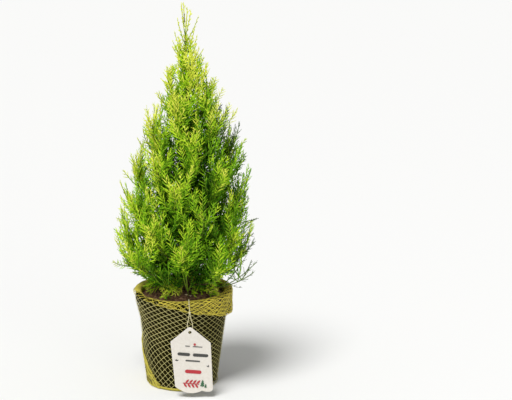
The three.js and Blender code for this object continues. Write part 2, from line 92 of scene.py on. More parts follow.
def smoothstep(x, low, high):
    share = np.clip((x - low) / (high - low), 0, 1)
    return share * share * (3 - 2 * share)


def random_from(seed):
    """The part's own seeded random numbers."""
    modulus = 2147483647
    state = [(seed * 7919 + 104729) % modulus]

    def draw():
        state[0] = state[0] * 16807 % modulus
        return state[0] / modulus

    return draw


def unit(vectors):
    return vectors / np.maximum(np.linalg.norm(vectors, axis=-1, keepdims=True), 1e-9)


def polar(radius, angle, z):
    radius, angle, z = np.broadcast_arrays(radius, angle, z)
    return np.stack([radius * np.cos(angle), radius * np.sin(angle), z], -1)


def degrees_of(points):
    """Where points lie round Z, from 0 to 360."""
    return np.degrees(np.arctan2(points[:, 1], points[:, 0])) % 360


def facing(angle, degrees):
    """From 1 where an angle faces a direction to 0 opposite it."""
    return (1 + np.cos(angle - math.radians(degrees))) / 2


def make_camera():
    yaw, pitch, roll = (math.radians(CAMERA[k]) for k in ("yaw", "pitch", "roll"))
    forward = Vector((math.sin(yaw) * math.cos(pitch), math.cos(yaw) * math.cos(pitch), -math.sin(pitch)))
    right = Vector((math.cos(yaw), -math.sin(yaw), 0))
    up = right.cross(forward)
    turned_right = right * math.cos(roll) + up * math.sin(roll)
    turned_up = up * math.cos(roll) - right * math.sin(roll)
    data = bpy.data.cameras.new("camera")
    data.lens = CAMERA["lens"]
    data.sensor_width = 36
    camera = bpy.data.objects.new("camera", data)
    axes = Matrix((turned_right, turned_up, -forward)).transposed()
    place = Matrix.Translation((0, -CAMERA["distance"] * MM, CAMERA["height"] * MM))
    camera.matrix_world = place @ axes.to_4x4()
    bpy.context.scene.collection.objects.link(camera)
    bpy.context.scene.camera = camera


make_camera()


# Materials

# The plain ones have a base colour, a roughness and a specular level.
PLAIN = {
    "foliage_deep": ((0.030, 0.112, 0.004), 0.6, 0.04),
    "foliage_green": ((0.112, 0.295, 0.012), 0.6, 0.04),
    "foliage_lime": ((0.31, 0.61, 0.022), 0.6, 0.04),
    "foliage_lemon": ((0.64, 0.88, 0.045), 0.6, 0.04),
    "foliage_pale": ((0.91, 0.96, 0.13), 0.6, 0.04),
    "foliage_grey": ((0.13, 0.20, 0.075), 0.6, 0.04),
    "twig": ((0.15, 0.17, 0.04), 0.7, 0.5),
    "green_twig": ((0.18, 0.3, 0.02), 0.6, 0.1),
    "net_strand": ((0.70, 0.64, 0.26), 0.6, 0.1),
    # A darker copy of the net's strand colour for the sleeve's right side: painted shade.
    "net_strand_painted_shade": ((0.56, 0.51, 0.19), 0.65, 0.05),
    # The inner layer of net at the left, coloured dark: painted shade.
    "net_inner_painted_shade": ((0.13, 0.115, 0.035), 0.7, 0.05),
    "net_cuff_strand": ((0.65, 0.55, 0.08), 0.6, 0.1),
    # A lighter copy of the cuff's strand colour for its right part: painted light.
    "net_cuff_strand_painted_light": ((0.75, 0.635, 0.085), 0.6, 0.1),
    "net_gather_strand": ((0.56, 0.49, 0.08), 0.6, 0.15),
    "print_red": ((0.5, 0.03, 0.04), 0.6, 0.5),
    "print_grey": ((0.06, 0.06, 0.055), 0.6, 0.5),
    "print_green": ((0.04, 0.14, 0.06), 0.6, 0.5),
    "string": ((0.77, 0.71, 0.43), 0.8, 0.5),
    "floor": ((0.88, 0.88, 0.87), 0.9, 0.0),
}
STRING_SHEEN = 0.2
# The others have noise as well: the stops of its colour ramp, its scale, its stretch along Z and the
# span of its roughness, and some have bumps of a scale, a depth in metres and a stretch.
NOISY = {
    "bark": ((0.16, 0.11, 0.06), 0.9, 0.2,
             [(0.3, (0.05, 0.032, 0.015)), (0.5, (0.14, 0.095, 0.048)), (0.7, (0.28, 0.21, 0.12))],
             420, 0.25, (0.75, 0.95), (700, 0.0004, 0.2)),
    "pot_plastic": ((0.014, 0.012, 0.002), 0.7, 0.02,
                    [(0.35, (0.010, 0.009, 0.001)), (0.7, (0.022, 0.019, 0.003))],
                    60, 1, (0.6, 0.8), (900, 0.0001, 1)),
    "soil": ((0.05, 0.03, 0.015), 0.95, 0.5,
             [(0.35, (0.07, 0.036, 0.018)), (0.55, (0.26, 0.135, 0.07)), (0.75, (0.45, 0.28, 0.16))],
             350, 1, (0.85, 1.0), (900, 0.0006, 1)),
    "soil_chip": ((0.1, 0.05, 0.03), 0.9, 0.5,
                  [(0.3, (0.07, 0.03, 0.018)), (0.6, (0.2, 0.095, 0.055)), (0.8, (0.42, 0.28, 0.17))],
                  260, 1, (0.8, 0.98), None),
    "soil_pale_chip": ((0.6, 0.45, 0.3), 0.9, 0.5, [(0.3, (0.85, 0.62, 0.42)), (0.7, (0.97, 0.84, 0.64))],
                       300, 1, (0.8, 0.95), None),
    # The cuff's folded inner layers, coloured dark: painted shade.
    "net_folds_painted_shade": ((0.3, 0.24, 0.03), 0.7, 0.5, [(0.4, (0.02, 0.016, 0.002)), (0.6, (0.11, 0.085, 0.006))],
                  260, 1, (0.6, 0.8), None),
    "net_gathered": ((0.25, 0.2, 0.03), 0.7, 0.5,
                     [(0.4, (0.03, 0.025, 0.003)), (0.5, (0.14, 0.115, 0.012)), (0.6, (0.42, 0.36, 0.05))],
                     420, 1, (0.6, 0.8), None),
    "card": ((0.8, 0.76, 0.69), 0.75, 0.5, [(0.3, (0.76, 0.71, 0.63)), (0.7, (0.82, 0.78, 0.71))],
             500, 1, (0.7, 0.85), (1500, 0.00005, 1)),
}


def new_material(name, color, roughness, specular):
    material = bpy.data.materials.new(name)
    material.use_nodes = True
    inputs = material.node_tree.nodes["Principled BSDF"].inputs
    inputs["Base Color"].default_value = (*color, 1)
    inputs["Roughness"].default_value = roughness
    inputs["Specular IOR Level"].default_value = specular
    return material


def add_node(material, kind, **inputs):
    node = material.node_tree.nodes.new(kind)
    for key, value in inputs.items():
        node.inputs[key].default_value = value
    return node


def link(material, source, output, target, socket):
    material.node_tree.links.new(source.outputs[output], target.inputs[socket])


def add_noise(material, scale, detail, stretch):
    """A noise in object space, stretched along Z."""
    place = add_node(material, "ShaderNodeTexCoord")
    mapping = add_node(material, "ShaderNodeMapping", Scale=(1, 1, stretch))
    noise = add_node(material, "ShaderNodeTexNoise", Scale=scale, Detail=detail)
    link(material, place, "Object", mapping, "Vector")
    link(material, mapping, "Vector", noise, "Vector")
    return noise


def add_pattern(material, stops, scale, stretch, span, bump):
    """Varies a material's colour and roughness by noise, and gives it bumps."""
    shader = material.node_tree.nodes["Principled BSDF"]
    noise = add_noise(material, scale, 4, stretch)
    ramp = add_node(material, "ShaderNodeValToRGB")
    elements = ramp.color_ramp.elements
    elements.remove(elements[0])
    elements[0].position, elements[0].color = stops[0][0], (*stops[0][1], 1)
    for position, color in stops[1:]:
        elements.new(position).color = (*color, 1)
    link(material, noise, "Fac", ramp, "Fac")
    link(material, ramp, "Color", shader, "Base Color")
    rough = add_node(material, "ShaderNodeMapRange", **{"To Min": span[0], "To Max": span[1]})
    link(material, noise, "Fac", rough, "Value")
    link(material, rough, "Result", shader, "Roughness")
    if bump:
        relief = add_node(material, "ShaderNodeBump", Strength=1.0, Distance=bump[1])
        link(material, add_noise(material, bump[0], 3, bump[2]), "Fac", relief, "Height")
        link(material, relief, "Normal", shader, "Normal")


def make_materials():
    made = {name: new_material(name, *finish) for name, finish in PLAIN.items()}
    made["string"].node_tree.nodes["Principled BSDF"].inputs["Sheen Weight"].default_value = STRING_SHEEN
    for name, finish in NOISY.items():
        made[name] = new_material(name, *finish[:3])
        add_pattern(made[name], *finish[3:])
    return made


MATERIALS = make_materials()


# Meshes

def place_piece(name, mesh, material, replaced=()):
    """Makes a piece of a mesh. It rides on the root body."""
    mesh.materials.clear()
    mesh.materials.append(MATERIALS[material])
    made = bpy.data.objects.new(name, mesh)
    bpy.context.scene.collection.objects.link(made)
    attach(made, "root")
    if replaced:
        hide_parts(*replaced)


def piece_from(name, vertices, faces, material, replaced=(), smooth=False):
    """A piece from arrays in millimetres, with faces of three or four corners."""
    count, size = faces.shape
    mesh = bpy.data.meshes.new(name)
    mesh.vertices.add(len(vertices))
    mesh.vertices.foreach_set("co", (np.asarray(vertices, np.float32) * MM).ravel())
    mesh.loops.add(faces.size)
    mesh.loops.foreach_set("vertex_index", faces.astype(np.int32).ravel())
    mesh.polygons.add(count)
    mesh.polygons.foreach_set("loop_start", np.arange(0, faces.size, size, dtype=np.int32))
    mesh.polygons.foreach_set("loop_total", np.full(count, size, np.int32))
    mesh.update(calc_edges=True)
    mesh.polygons.foreach_set("use_smooth", np.full(count, smooth))
    place_piece(name, mesh, material, replaced)


def grid(rows, columns, closed_rows=False, closed_columns=False):
    """The quads between points in rows and columns, which may close on themselves."""
    i, k = np.meshgrid(np.arange(rows - (not closed_rows)), np.arange(columns - (not closed_columns)),
                       indexing="ij")
    next_i, next_k = (i + 1) % rows, (k + 1) % columns
    corners = [(i, k), (next_i, k), (next_i, next_k), (i, next_k)]
    return np.stack([row * columns + column for row, column in corners], -1).reshape(-1, 4)


def triangles(faces):
    faces = np.asarray(faces)
    return faces if faces.shape[1] == 3 else np.concatenate([faces[:, [0, 1, 2]], faces[:, [0, 2, 3]]])


def copies(faces, count, points):
    """The faces of many like things with so many points each."""
    faces = np.asarray(faces)
    return (faces[None] + np.arange(count)[:, None, None] * points).reshape(-1, faces.shape[1])


class Heap:
    """Gathers vertices and triangles of many small things into one mesh."""

    def __init__(self):
        self.vertices = []
        self.faces = []
        self.count = 0

    def add(self, vertices, faces):
        vertices = np.reshape(vertices, (-1, 3))
        self.vertices.append(vertices)
        self.faces.append(triangles(faces) + self.count)
        self.count += len(vertices)

    def make(self, name, material, slot, replaced=(), smooth=False):
        vertices, faces = np.concatenate(self.vertices), np.concatenate(self.faces)
        piece_from(name, vertices, faces, material, replaced, smooth)


def tube_faces(count, points, sides):
    """The triangles of capped tubes of rings. Their rings turn so that the faces point out."""
    fan = np.arange(1, sides - 1)[:, None] * (0, 1, 1)
    caps = np.concatenate([fan + (0, 0, 1), fan + (0, 1, 0) + (points - 1) * sides])
    walls = triangles(grid(points, sides, closed_columns=True))
    return copies(np.concatenate([walls, caps]), count, points * sides)


def tubes(paths, radii, sides, reference=(0.12, 0.2, 1.0), flat=1.0):
    """Capped tubes along equally long rows of points: paths is (tubes, points, 3).

    They are flattened along the reference by the given share.
    """
    count, points, _ = paths.shape
    radii = np.broadcast_to(radii, (count, points))
    along = unit(np.gradient(paths, axis=1))
    across = unit(np.cross(along, np.broadcast_to(reference, paths.shape)))
    third = np.cross(across, along) * flat
    turn = np.arange(sides) / sides * TAU
    ring = across[:, :, None] * np.cos(turn)[:, None] + third[:, :, None] * np.sin(turn)[:, None]
    vertices = paths[:, :, None] + ring * radii[:, :, None, None]
    return vertices.reshape(-1, 3), tube_faces(count, points, sides)


def turned_faces(segments, size):
    """The triangles of a form turned about Z: its columns of points, then a low and a high end."""
    around = np.arange(segments) * size
    after = np.roll(around, -1)
    low = np.full(segments, segments * size)
    foot = np.stack([low, after, around], -1)
    head = np.stack([low + 1, around + size - 1, after + size - 1], -1)
    return np.concatenate([triangles(grid(segments, size, closed_rows=True)), foot, head])


def turned(profile, segments):
    """A solid turned about Z from a profile of (radius, z) that starts and ends on the axis."""
    inner = profile[1:-1]
    angles = np.arange(segments) / segments * TAU
    body = polar(inner[None, :, 0], angles[:, None], inner[None, :, 1]).reshape(-1, 3)
    ends = [(0, 0, profile[0, 1]), (0, 0, profile[-1, 1])]
    return np.concatenate([body, ends]), turned_faces(segments, len(inner))


def rounded(profile, radius, steps=4):
    """Rounds the corners of an open profile of (r, z) points."""
    profile = np.asarray(profile, float)
    out = [profile[:1]]
    for before, corner, after in zip(profile, profile[1:], profile[2:]):
        to_before, to_after = before - corner, after - corner
        longs = np.linalg.norm(to_before), np.linalg.norm(to_after)
        cut = min(radius, 0.45 * longs[0], 0.45 * longs[1])
        ends = corner + to_before / longs[0] * cut, corner + to_after / longs[1] * cut
        out.append(quadratic(ends[0], corner, ends[1], steps))
    return np.concatenate(out + [profile[-1:]])


def bezier(controls, share):
    """Places on a curve with three controls."""
    share = np.asarray(share, float)[..., None]
    start, control, end = (np.asarray(p, float) for p in controls)
    return (1 - share) ** 2 * start + 2 * share * (1 - share) * control + share**2 * end


def quadratic(start, control, end, steps=8):
    return bezier((start, control, end), np.linspace(0, 1, steps + 1))


# The pot and its soil

def pot_radius(z):
    return POT["base_radius"] + POT["taper"] * z


def make_pot():
    foot, rim = POT["foot_radius"], POT["height"]
    lip_z = rim - POT["lip_drop"]
    profile = [(0, POT["recess"]), (foot - POT["recess_edge"], POT["recess"]), (foot - POT["foot_width"], 0),
               (foot, 0), (pot_radius(POT["chamfer"]), POT["chamfer"]), (pot_radius(lip_z), lip_z),
               (POT["lip_radius"], lip_z), (POT["lip_radius"], rim), (pot_radius(rim) - POT["wall"], rim),
               (pot_radius(POT["floor"]) - POT["wall"], POT["floor"]), (0, POT["floor"])]
    vertices, faces = turned(rounded(profile, POT["edge_round"]), ROUND_SIDES)
    piece_from("pot_body", vertices, faces, "pot_plastic", ["pot"], smooth=True)


def from_trunk_foot(x, y):
    return np.hypot(x - TRUNK["foot_x"], y - TRUNK["foot_y"])


def soil_height(x, y):
    radius = np.hypot(x, y)
    fall = smoothstep(radius, SOIL["crest_radius"], pot_radius(SOIL["edge_z"]) - POT["wall"])
    lumps = np.sin(0.31 * x + 1.3) * np.cos(0.27 * y - 0.4) + 0.6 * np.sin(0.53 * x - 0.47 * y)
    calm = smoothstep(from_trunk_foot(x, y), SOIL["calm_from"], SOIL["calm_to"]) * (1 - fall)
    return lerp(SOIL["crest_z"], SOIL["edge_z"], fall) + SOIL["bump"] * lumps * calm


# Two pale bits of bark lie in front of the trunk's foot.
PALE_CHIPS_AT = [(3.4, -27.4), (7.6, -27.2)]
PLACED_CHIP_SIZE = 1.7
PLACED_CHIP_LIFT = 0.9
# The crumbs keep off the pot's wall and the trunk. Flat ones lie more level.
CRUMB = dict(off_wall=1.6, off_trunk=5.5, size_power=1.3, lift=0.15, flat_below=0.6, level=0.35)
# The soil's crumbs: piece, count, sizes, flatness, material, seed and the placed ones.
CRUMBS = [
    ("soil_crumbs", 1500, (0.5, 1.2), 0.8, "soil", SEEDS["crumbs"]),
    ("soil_chips", 420, (0.8, 1.9), 0.35, "soil_chip", SEEDS["chips"]),
    ("soil_pale_chips", 14, (1.0, 1.7), 0.4, "soil_pale_chip", SEEDS["pale_chips"], PALE_CHIPS_AT),
]


def crumb_shapes():
    """The corners and faces of an icosahedron, the start of each crumb."""
    g = (1 + 5**0.5) / 2
    corners = [(-1, g, 0), (1, g, 0), (-1, -g, 0), (1, -g, 0), (0, -1, g), (0, 1, g),
               (0, -1, -g), (0, 1, -g), (g, 0, -1), (g, 0, 1), (-g, 0, -1), (-g, 0, 1)]
    faces = [(0, 11, 5), (0, 5, 1), (0, 1, 7), (0, 7, 10), (0, 10, 11), (1, 5, 9), (5, 11, 4),
             (11, 10, 2), (10, 7, 6), (7, 1, 8), (3, 9, 4), (3, 4, 2), (3, 2, 6), (3, 6, 8), (3, 8, 9),
             (4, 9, 5), (2, 4, 11), (6, 2, 10), (8, 6, 7), (9, 8, 1)]
    return unit(np.array(corners, float)), faces


def scatter_crumbs(name, count, size_range, flatness, material, seed, placed=()):
    """Strews lumps over the soil. The placed ones lie at given points and are of one larger size."""
    random = np.random.RandomState(seed)
    corners, faces = crumb_shapes()
    edge = pot_radius(SOIL["edge_z"]) - POT["wall"] - CRUMB["off_wall"]
    radius = edge * np.sqrt(random.uniform(0.0, 1, count))
    place = polar(radius, random.uniform(0, TAU, count), 0.0)
    size = random.uniform(*size_range, count) ** CRUMB["size_power"]
    if placed:
        place[:len(placed), :2] = placed
        size[:len(placed)] = PLACED_CHIP_SIZE
    place[:, 2] = soil_height(place[:, 0], place[:, 1]) + size * CRUMB["lift"]
    place[:len(placed), 2] += PLACED_CHIP_LIFT
    axes = np.linalg.qr(random.normal(size=(count, 3, 3)))[0]
    lumpy = corners[None] * random.uniform(0.7, 1.25, (count, len(corners), 1)) * (1.0, 0.75, flatness)
    tilt = lerp(axes, np.eye(3)[None], CRUMB["level"] if flatness < CRUMB["flat_below"] else 0.0)
    tilt[:len(placed)] = np.eye(3)
    vertices = np.einsum("nij,nkj->nki", tilt, lumpy) * size[:, None, None] + place[:, None]
    vertices = vertices[from_trunk_foot(place[:, 0], place[:, 1]) > CRUMB["off_trunk"]]
    faces = copies(faces, len(vertices), len(corners))
    piece_from(name, vertices.reshape(-1, 3), faces, material)


def make_soil():
    rings, segments = 56, ROUND_SIDES
    edge = pot_radius(SOIL["edge_z"]) - POT["wall"] - GAP
    random = np.random.RandomState(SEEDS["soil"])
    radius = np.linspace(0.5, edge, rings)
    angle = np.arange(segments) / segments * TAU
    top = polar(radius[None, :], angle[:, None], 0.0)
    rough = random.normal(size=(segments, rings))
    rough = (rough + np.roll(rough, 1, 0) + np.roll(rough, -1, 0)) / 3
    rough[:, 1:] = (rough[:, 1:] + rough[:, :-1]) / 2
    top[..., 2] = soil_height(top[..., 0], top[..., 1]) + 0.55 * rough * smoothstep(radius, 4, 12)[None]
    top[:, -1, 2] = SOIL["edge_z"]
    under = SOIL["under_z"]
    wall = polar(pot_radius(under) - POT["wall"] - GAP, angle, under)[:, None]
    body = np.concatenate([top, wall], 1).reshape(-1, 3)
    vertices = np.concatenate([body, [(0, 0, SOIL["crest_z"]), (0, 0, under)]])
    faces = turned_faces(segments, rings + 1)[:, ::-1]
    piece_from("soil_bed", vertices, faces, "soil", ["soil"], smooth=True)
    for crumbs in CRUMBS:
        scatter_crumbs(*crumbs)


# The net

# Its strands run in two slanting families over a surface, counted by cells round the pot and by rows
# up it. The rows of the sleeve grow closer from its foot to its head.
NET_CELLS = 34
SLEEVE = dict(low_row=6.3, high_row=5.2, tilt_from=6, tilt_to=58, lean=0.006, lean_from=48, lean_at=225,
              foot=1.2, head=99, strand=0.19, knot=0.36, lift=0.25, under_hem=2.2)
# Two more layers at the left have finer rows. One lies behind the sleeve where it stands off the pot
# below the rim, coloured dark as painted shade, and the other on the sleeve below that.
SECOND = dict(finer=1.05, shift=0.5, off_from=130, off_to=214, on_from=140, on_to=213, border_z=66, wave=6)
# The angles in degrees between which the sleeve is in shade, past 0. There its strands take a darker copy of
# their colour, painted shade.
SHADED_SIDE = (298, 60)
# How many steps find where a strand or a knot lies.
STRAND_STEPS = 24
KNOT_STEPS = 30


def net_inner_radius(z):
    lip_z = POT["height"] - POT["lip_drop"]
    on_wall = pot_radius(np.minimum(z, NET_LEAVES_WALL_Z)) + GAP + 0.05
    climb = np.clip((z - NET_LEAVES_WALL_Z) / (lip_z - 0.5 - NET_LEAVES_WALL_Z), 0, 1)
    return lerp(on_wall, POT["lip_radius"] + GAP, climb)


def warp(angle):
    """The net is stretched at the sides, so its cells stand closer at the front and back."""
    return -0.06 * np.sin(2 * angle)


def outward_from_axis(paths):
    return unit(paths * np.array([1, 1, 0]))


def net_layer(heap, cells, phase, rows_at, place_at, heights, radius, sides=5, keep=None, lean_at=None,
              flat=0.5, inside=None):
    """Adds both families of strands of one layer of net.

    The angle of each strand at each height is found by steps towards where it crosses.
    """
    start = np.arange(cells)[:, None] + phase
    for family in (1, -1):
        angle = start / cells * TAU + 0 * heights[None]
        for _ in range(STRAND_STEPS):
            lean = lean_at(angle, heights[None]) if lean_at else 0
            angle = (start + family * rows_at(angle, heights[None]) + lean) / cells * TAU - warp(angle)
        height = np.broadcast_to(heights, angle.shape)
        paths = place_at(angle, height)
        vertices, faces = tubes(paths, radius, sides, outward_from_axis(paths), flat)
        if keep is not None:
            faces = faces[keep(vertices[faces].mean(1))]
        if inside is not None:
            faces = faces[np.repeat(inside(angle, height), sides)[faces].all(1)]
        heap.add(vertices, faces)


def sleeve_rows(angle, z):
    """How many rows of cells lie under a place. The rows tilt at the upper front left."""
    low, high = SLEEVE["low_row"], SLEEVE["high_row"]
    even = z / low + 0.5 * (1 / high - 1 / low) * z * z / POT["height"]
    turn = angle - math.radians(270)
    tilt = smoothstep(z, SLEEVE["tilt_from"], SLEEVE["tilt_to"])
    tilt = tilt * (0.77 * np.sin(turn) + 0.66 * np.sin(2 * turn))
    wander = 0.05 * np.sin(5 * angle + 0.09 * z) + 0.03 * np.sin(9 * angle - 0.13 * z + 1.0)
    return even + tilt + wander


def sleeve_lean(angle, z):
    """How many cells the columns lean round the pot, mostly at the upper left."""
    above = np.maximum(z - SLEEVE["lean_from"], 0)
    return SLEEVE["lean"] * above * facing(angle, SLEEVE["lean_at"]) ** 2


def under_hem(angle, z):
    """Whether a place on the sleeve lies below the cuff that covers it."""
    return z < cuff_top(angle) - cuff_depth(angle) + SLEEVE["under_hem"]


def sleeve_place(lift):
    def place(angle, z):
        return polar(net_inner_radius(z) + SLEEVE["lift"] + lift, angle, z)
    return place


def net_knots(heap, low, high, size):
    """A small flat knot wherever two strands of the sleeve cross."""
    row, line = np.meshgrid(np.arange(0, 90) / 2 - 6, np.arange(NET_CELLS), indexing="ij")
    line = line + (np.round(row * 2) % 2) / 2
    angle = line / NET_CELLS * TAU
    z = np.full(row.shape, 50.0)
    for _ in range(KNOT_STEPS):
        slope = sleeve_rows(angle, z + 0.5) - sleeve_rows(angle, z - 0.5)
        z = np.clip(z + 0.8 * (row - sleeve_rows(angle, z)) / slope, -40, 160)
        angle = (line + sleeve_lean(angle, z)) / NET_CELLS * TAU - warp(angle)
    inside = (z > low) & (z < high) & under_hem(angle, z)
    centre = sleeve_place(0)(angle[inside], z[inside])
    outward = outward_from_axis(centre)
    up = np.broadcast_to((0.0, 0.0, 1.0), centre.shape)
    across = np.cross(up, outward)
    corners = [across, up, -across, -up, outward * 0.5, -outward * 0.5]
    vertices = np.stack([centre + size * c for c in corners], 1)
    faces = [(0, 1, 4), (1, 2, 4), (2, 3, 4), (3, 0, 4), (1, 0, 5), (2, 1, 5), (3, 2, 5), (0, 3, 5)]
    heap.add(vertices, copies(faces, len(centre), len(corners)))


def make_sleeve():
    """The net on the pot's wall, its right side in a darker copy of its colour, painted shade, and its second
    layers at the left.
    """
    lit, shaded = Heap(), Heap()
    for heap, in_shade in ((lit, False), (shaded, True)):
        def chosen(middle, in_shade=in_shade):
            angle = degrees_of(middle)
            return ((angle > SHADED_SIDE[0]) | (angle < SHADED_SIDE[1])) == in_shade
        heights = np.linspace(SLEEVE["foot"], SLEEVE["head"], 92)
        net_layer(heap, NET_CELLS, 0.0, sleeve_rows, sleeve_place(0), heights, SLEEVE["strand"], 6,
                  chosen, sleeve_lean, 0.45, under_hem)
    net_knots(lit, SLEEVE["foot"] + 0.8, SLEEVE["head"] - 1, SLEEVE["knot"])
    lit.make("net_on_pot", "net_strand", "net", ["net_sleeve"])
    shaded.make("net_on_pot_painted_shade", "net_strand_painted_shade", "net")

    def second_rows(angle, z):
        return sleeve_rows(angle, z) * SECOND["finer"] + SECOND["shift"]

    def standing_off(middle):
        angle = degrees_of(middle)
        at_left = (angle > SECOND["off_from"]) & (angle < SECOND["off_to"])
        return at_left & (middle[:, 2] > SECOND["border_z"])

    def left_side(middle):
        angle, z = degrees_of(middle), middle[:, 2]
        edge = SECOND["on_to"] + SECOND["wave"] * np.sin(z * 0.11)
        border = SECOND["border_z"] + SECOND["wave"] * np.sin(angle * 0.2)
        return (angle > SECOND["on_from"]) & (angle < edge) & (z < border)

    inner = (46, 0.2, second_rows, sleeve_place(-0.9), np.linspace(62, 98, 40), 0.5, 4, standing_off)
    second = (NET_CELLS, 0.4, second_rows, sleeve_place(0.6), np.linspace(1.5, 98, 92), 0.13, 4, left_side)
    for name, layer, material in (("net_inner_layer", inner, "net_inner_painted_shade"),
                                  ("net_second_layer", second, "net_strand")):
        heap = Heap()
        net_layer(heap, *layer)
        heap.make(name, material, "net")


# The cuff, the net folded over the rim

# Its section is measured from the inner edge, up, over the top and down outside.
INNER_LEG = 6.0
TOP_ARC = 11.0
TOP_HEIGHT = 2.6
CUFF_INSET = 0.4
# Its layers of strands: cells round the pot, phase, height of a row, lift, radius of a strand, from and
# to which angle in degrees, and the taper at both ends. Those from RIGHT_FROM on take a lighter copy of
# the strand colour, painted light.
RIGHT_FROM = 294
CUFF_LAYERS = [
    (33, 0.0, 7.0, -0.3, 0.27, 100, 198, 0, 0), (33, 0.0, 7.0, -0.3, 0.19, 198, 224, 0, 0),
    (33, 0.0, 7.0, -0.3, 0.23, 223, 246, 0, 0), (33, 0.0, 7.0, -0.3, 0.28, 245, 268, 0, 0),
    (36, 0.0, 4.6, -0.1, 0.28, 220, 295.2, 42, 0), (33, 0.37, 4.6, 0.3, 0.36, 270, 295.2, 8, 0),
    (36, 0.0, 4.6, -0.1, 0.31, RIGHT_FROM, 530, 0, 50), (33, 0.37, 4.6, 0.3, 0.34, RIGHT_FROM, 505, 0, 50),
]


def cuff_depth(angle):
    deep = facing(angle, CUFF["tallest_at"]) ** CUFF["depth_power"]
    return CUFF["short_depth"] + CUFF["extra_depth"] * deep


def cuff_top(angle):
    return CUFF["top_z"] + CUFF["top_tilt"] * np.cos(angle - math.radians(CUFF["tallest_at"]))


def cuff_end(angle):
    """How far the cuff's section runs at an angle, to its hem."""
    wave = 0.5 * np.sin(23 * angle) + 0.4 * np.sin(9 * angle + 1)
    return INNER_LEG + TOP_ARC + cuff_depth(angle) - TOP_HEIGHT - CUFF_INSET + wave


def cuff_place(lift):
    def place(angle, along):
        middle = (CUFF["inner"] + CUFF["outer"]) / 2 - CUFF_INSET
        half = (CUFF["outer"] - CUFF["inner"]) / 2 - 0.5 + lift
        over = np.clip((along - INNER_LEG) / TOP_ARC, 0, 1) * math.pi
        z = cuff_top(angle) - TOP_HEIGHT + (TOP_HEIGHT - CUFF_INSET + lift) * np.sin(over)
        z = z - np.maximum(INNER_LEG - along, 0) - np.maximum(along - INNER_LEG - TOP_ARC, 0)
        outer = np.clip((along - INNER_LEG - TOP_ARC) / 10, 0, 1)
        pucker = 0.35 * np.sin(19 * angle + 0.2 * along) + 0.25 * np.sin(31 * angle - 0.35 * along + 1)
        pucker = pucker + 0.3 * np.sin(7 * angle + 0.5)
        return polar(middle - half * np.cos(over) + pucker * (0.3 + 0.7 * outer) - 0.5 * outer, angle, z)
    return place


def cuff_band(name, material, lift, thickness, low, high, span, replaced=()):
    """A closed band that follows the cuff's surface between two angles, narrower towards its ends."""
    angles = np.radians(np.linspace(*span))
    from_end = np.minimum(angles - angles[0], angles[-1] - angles)[:, None]
    reach = lerp(low + 4, np.minimum(high, cuff_end(angles[:, None]) - 0.3), smoothstep(from_end, -0.1, 0.4))
    along = lerp(low, reach, np.linspace(0, 1, 30)[None])
    shown = cuff_place(lift)(angles[:, None], along)
    hidden = cuff_place(lift - thickness)(angles[:, None], along)[:, ::-1]
    vertices = np.concatenate([shown, hidden], 1)
    rows, size = vertices.shape[:2]
    walls = grid(rows, size, closed_columns=True)[:, [0, 3, 2, 1]]
    k = np.arange(size // 2 - 1)
    cap = np.stack([k, size - 1 - k, size - 2 - k, k + 1], -1)
    faces = triangles(np.concatenate([walls, cap, cap[:, ::-1] + (rows - 1) * size]))
    piece_from(name, vertices.reshape(-1, 3), faces, material, replaced, smooth=True)


def between(low, high, taper, end_taper):
    """A test for angles in degrees from low round to high. Over each taper the cuff grows to its depth."""
    def inside(angle, along):
        turn = (np.degrees(angle) - low) % 360
        grown = smoothstep(turn, -1, taper) * smoothstep(high - low - turn, -1, end_taper)
        return (turn < high - low) & (along < lerp(INNER_LEG + 7, cuff_end(angle), grown))
    return inside


def make_cuff():
    # The layers folded under the cuff's strands, and the band inside at the right, are coloured dark: painted
    # shade.
    cuff_band("net_cuff_folds", "net_folds_painted_shade", -1.0, 0.6, 0.5, 52, (258, 466, 120), ["net_cuff"])
    cuff_band("net_cuff_inner_left", "net_cuff_strand", 0.3, 0.7, 0, INNER_LEG + 8, (128, 206, 50))
    cuff_band("net_cuff_inner_right", "net_folds_painted_shade", -0.4, 0.6, 0, INNER_LEG + 6.5, (18, 74, 34))
    heap, painted_light_heap = Heap(), Heap()
    for cells, phase, row_height, lift, radius, low, high, taper, end_taper in CUFF_LAYERS:
        def rows_at(angle, s, row_height=row_height, phase=phase):
            wander = 0.4 * np.sin(3 * angle + 5 * phase) + 0.3 * np.sin(8 * angle + 0.15 * s + 5 * phase)
            return s / row_height + wander
        # The layers from RIGHT_FROM on take a lighter copy of the strand colour: painted light.
        net_layer(painted_light_heap if low == RIGHT_FROM else heap, cells, phase, rows_at, cuff_place(lift),
                  np.linspace(0, 50, 90), radius, flat=0.7, inside=between(low, high, taper, end_taper))
    painted_light_heap.make("net_cuff_strands_painted_light", "net_cuff_strand_painted_light", "net")
    around = np.radians(np.linspace(218, 556, 400))
    for k in range(2):
        path = cuff_place(0.1 + 0.2 * k)(around, cuff_end(around) - 0.9 * k * np.sin(13 * around) ** 2)
        thin = 0.12 + 0.14 * smoothstep(np.degrees(around), 218, 250)
        heap.add(*tubes(path[None], thin[None], 5, (0.0, 0.0, 1.0)))
    heap.make("net_cuff_strands", "net_cuff_strand", "net")


# The gathered end of the net, a creased wedge at the pot's lower left

def gather_top(degrees):
    start, end = GATHER["from_angle"], GATHER["to_angle"]
    from_back = GATHER["low_z"] + GATHER["back_slope"] * np.maximum(degrees - start, 0)
    share = np.clip((degrees - start) / (end - start), 0, 1)
    return np.minimum(lerp(GATHER["high_z"], GATHER["low_z"] + GATHER["end_rise"], share), from_back)


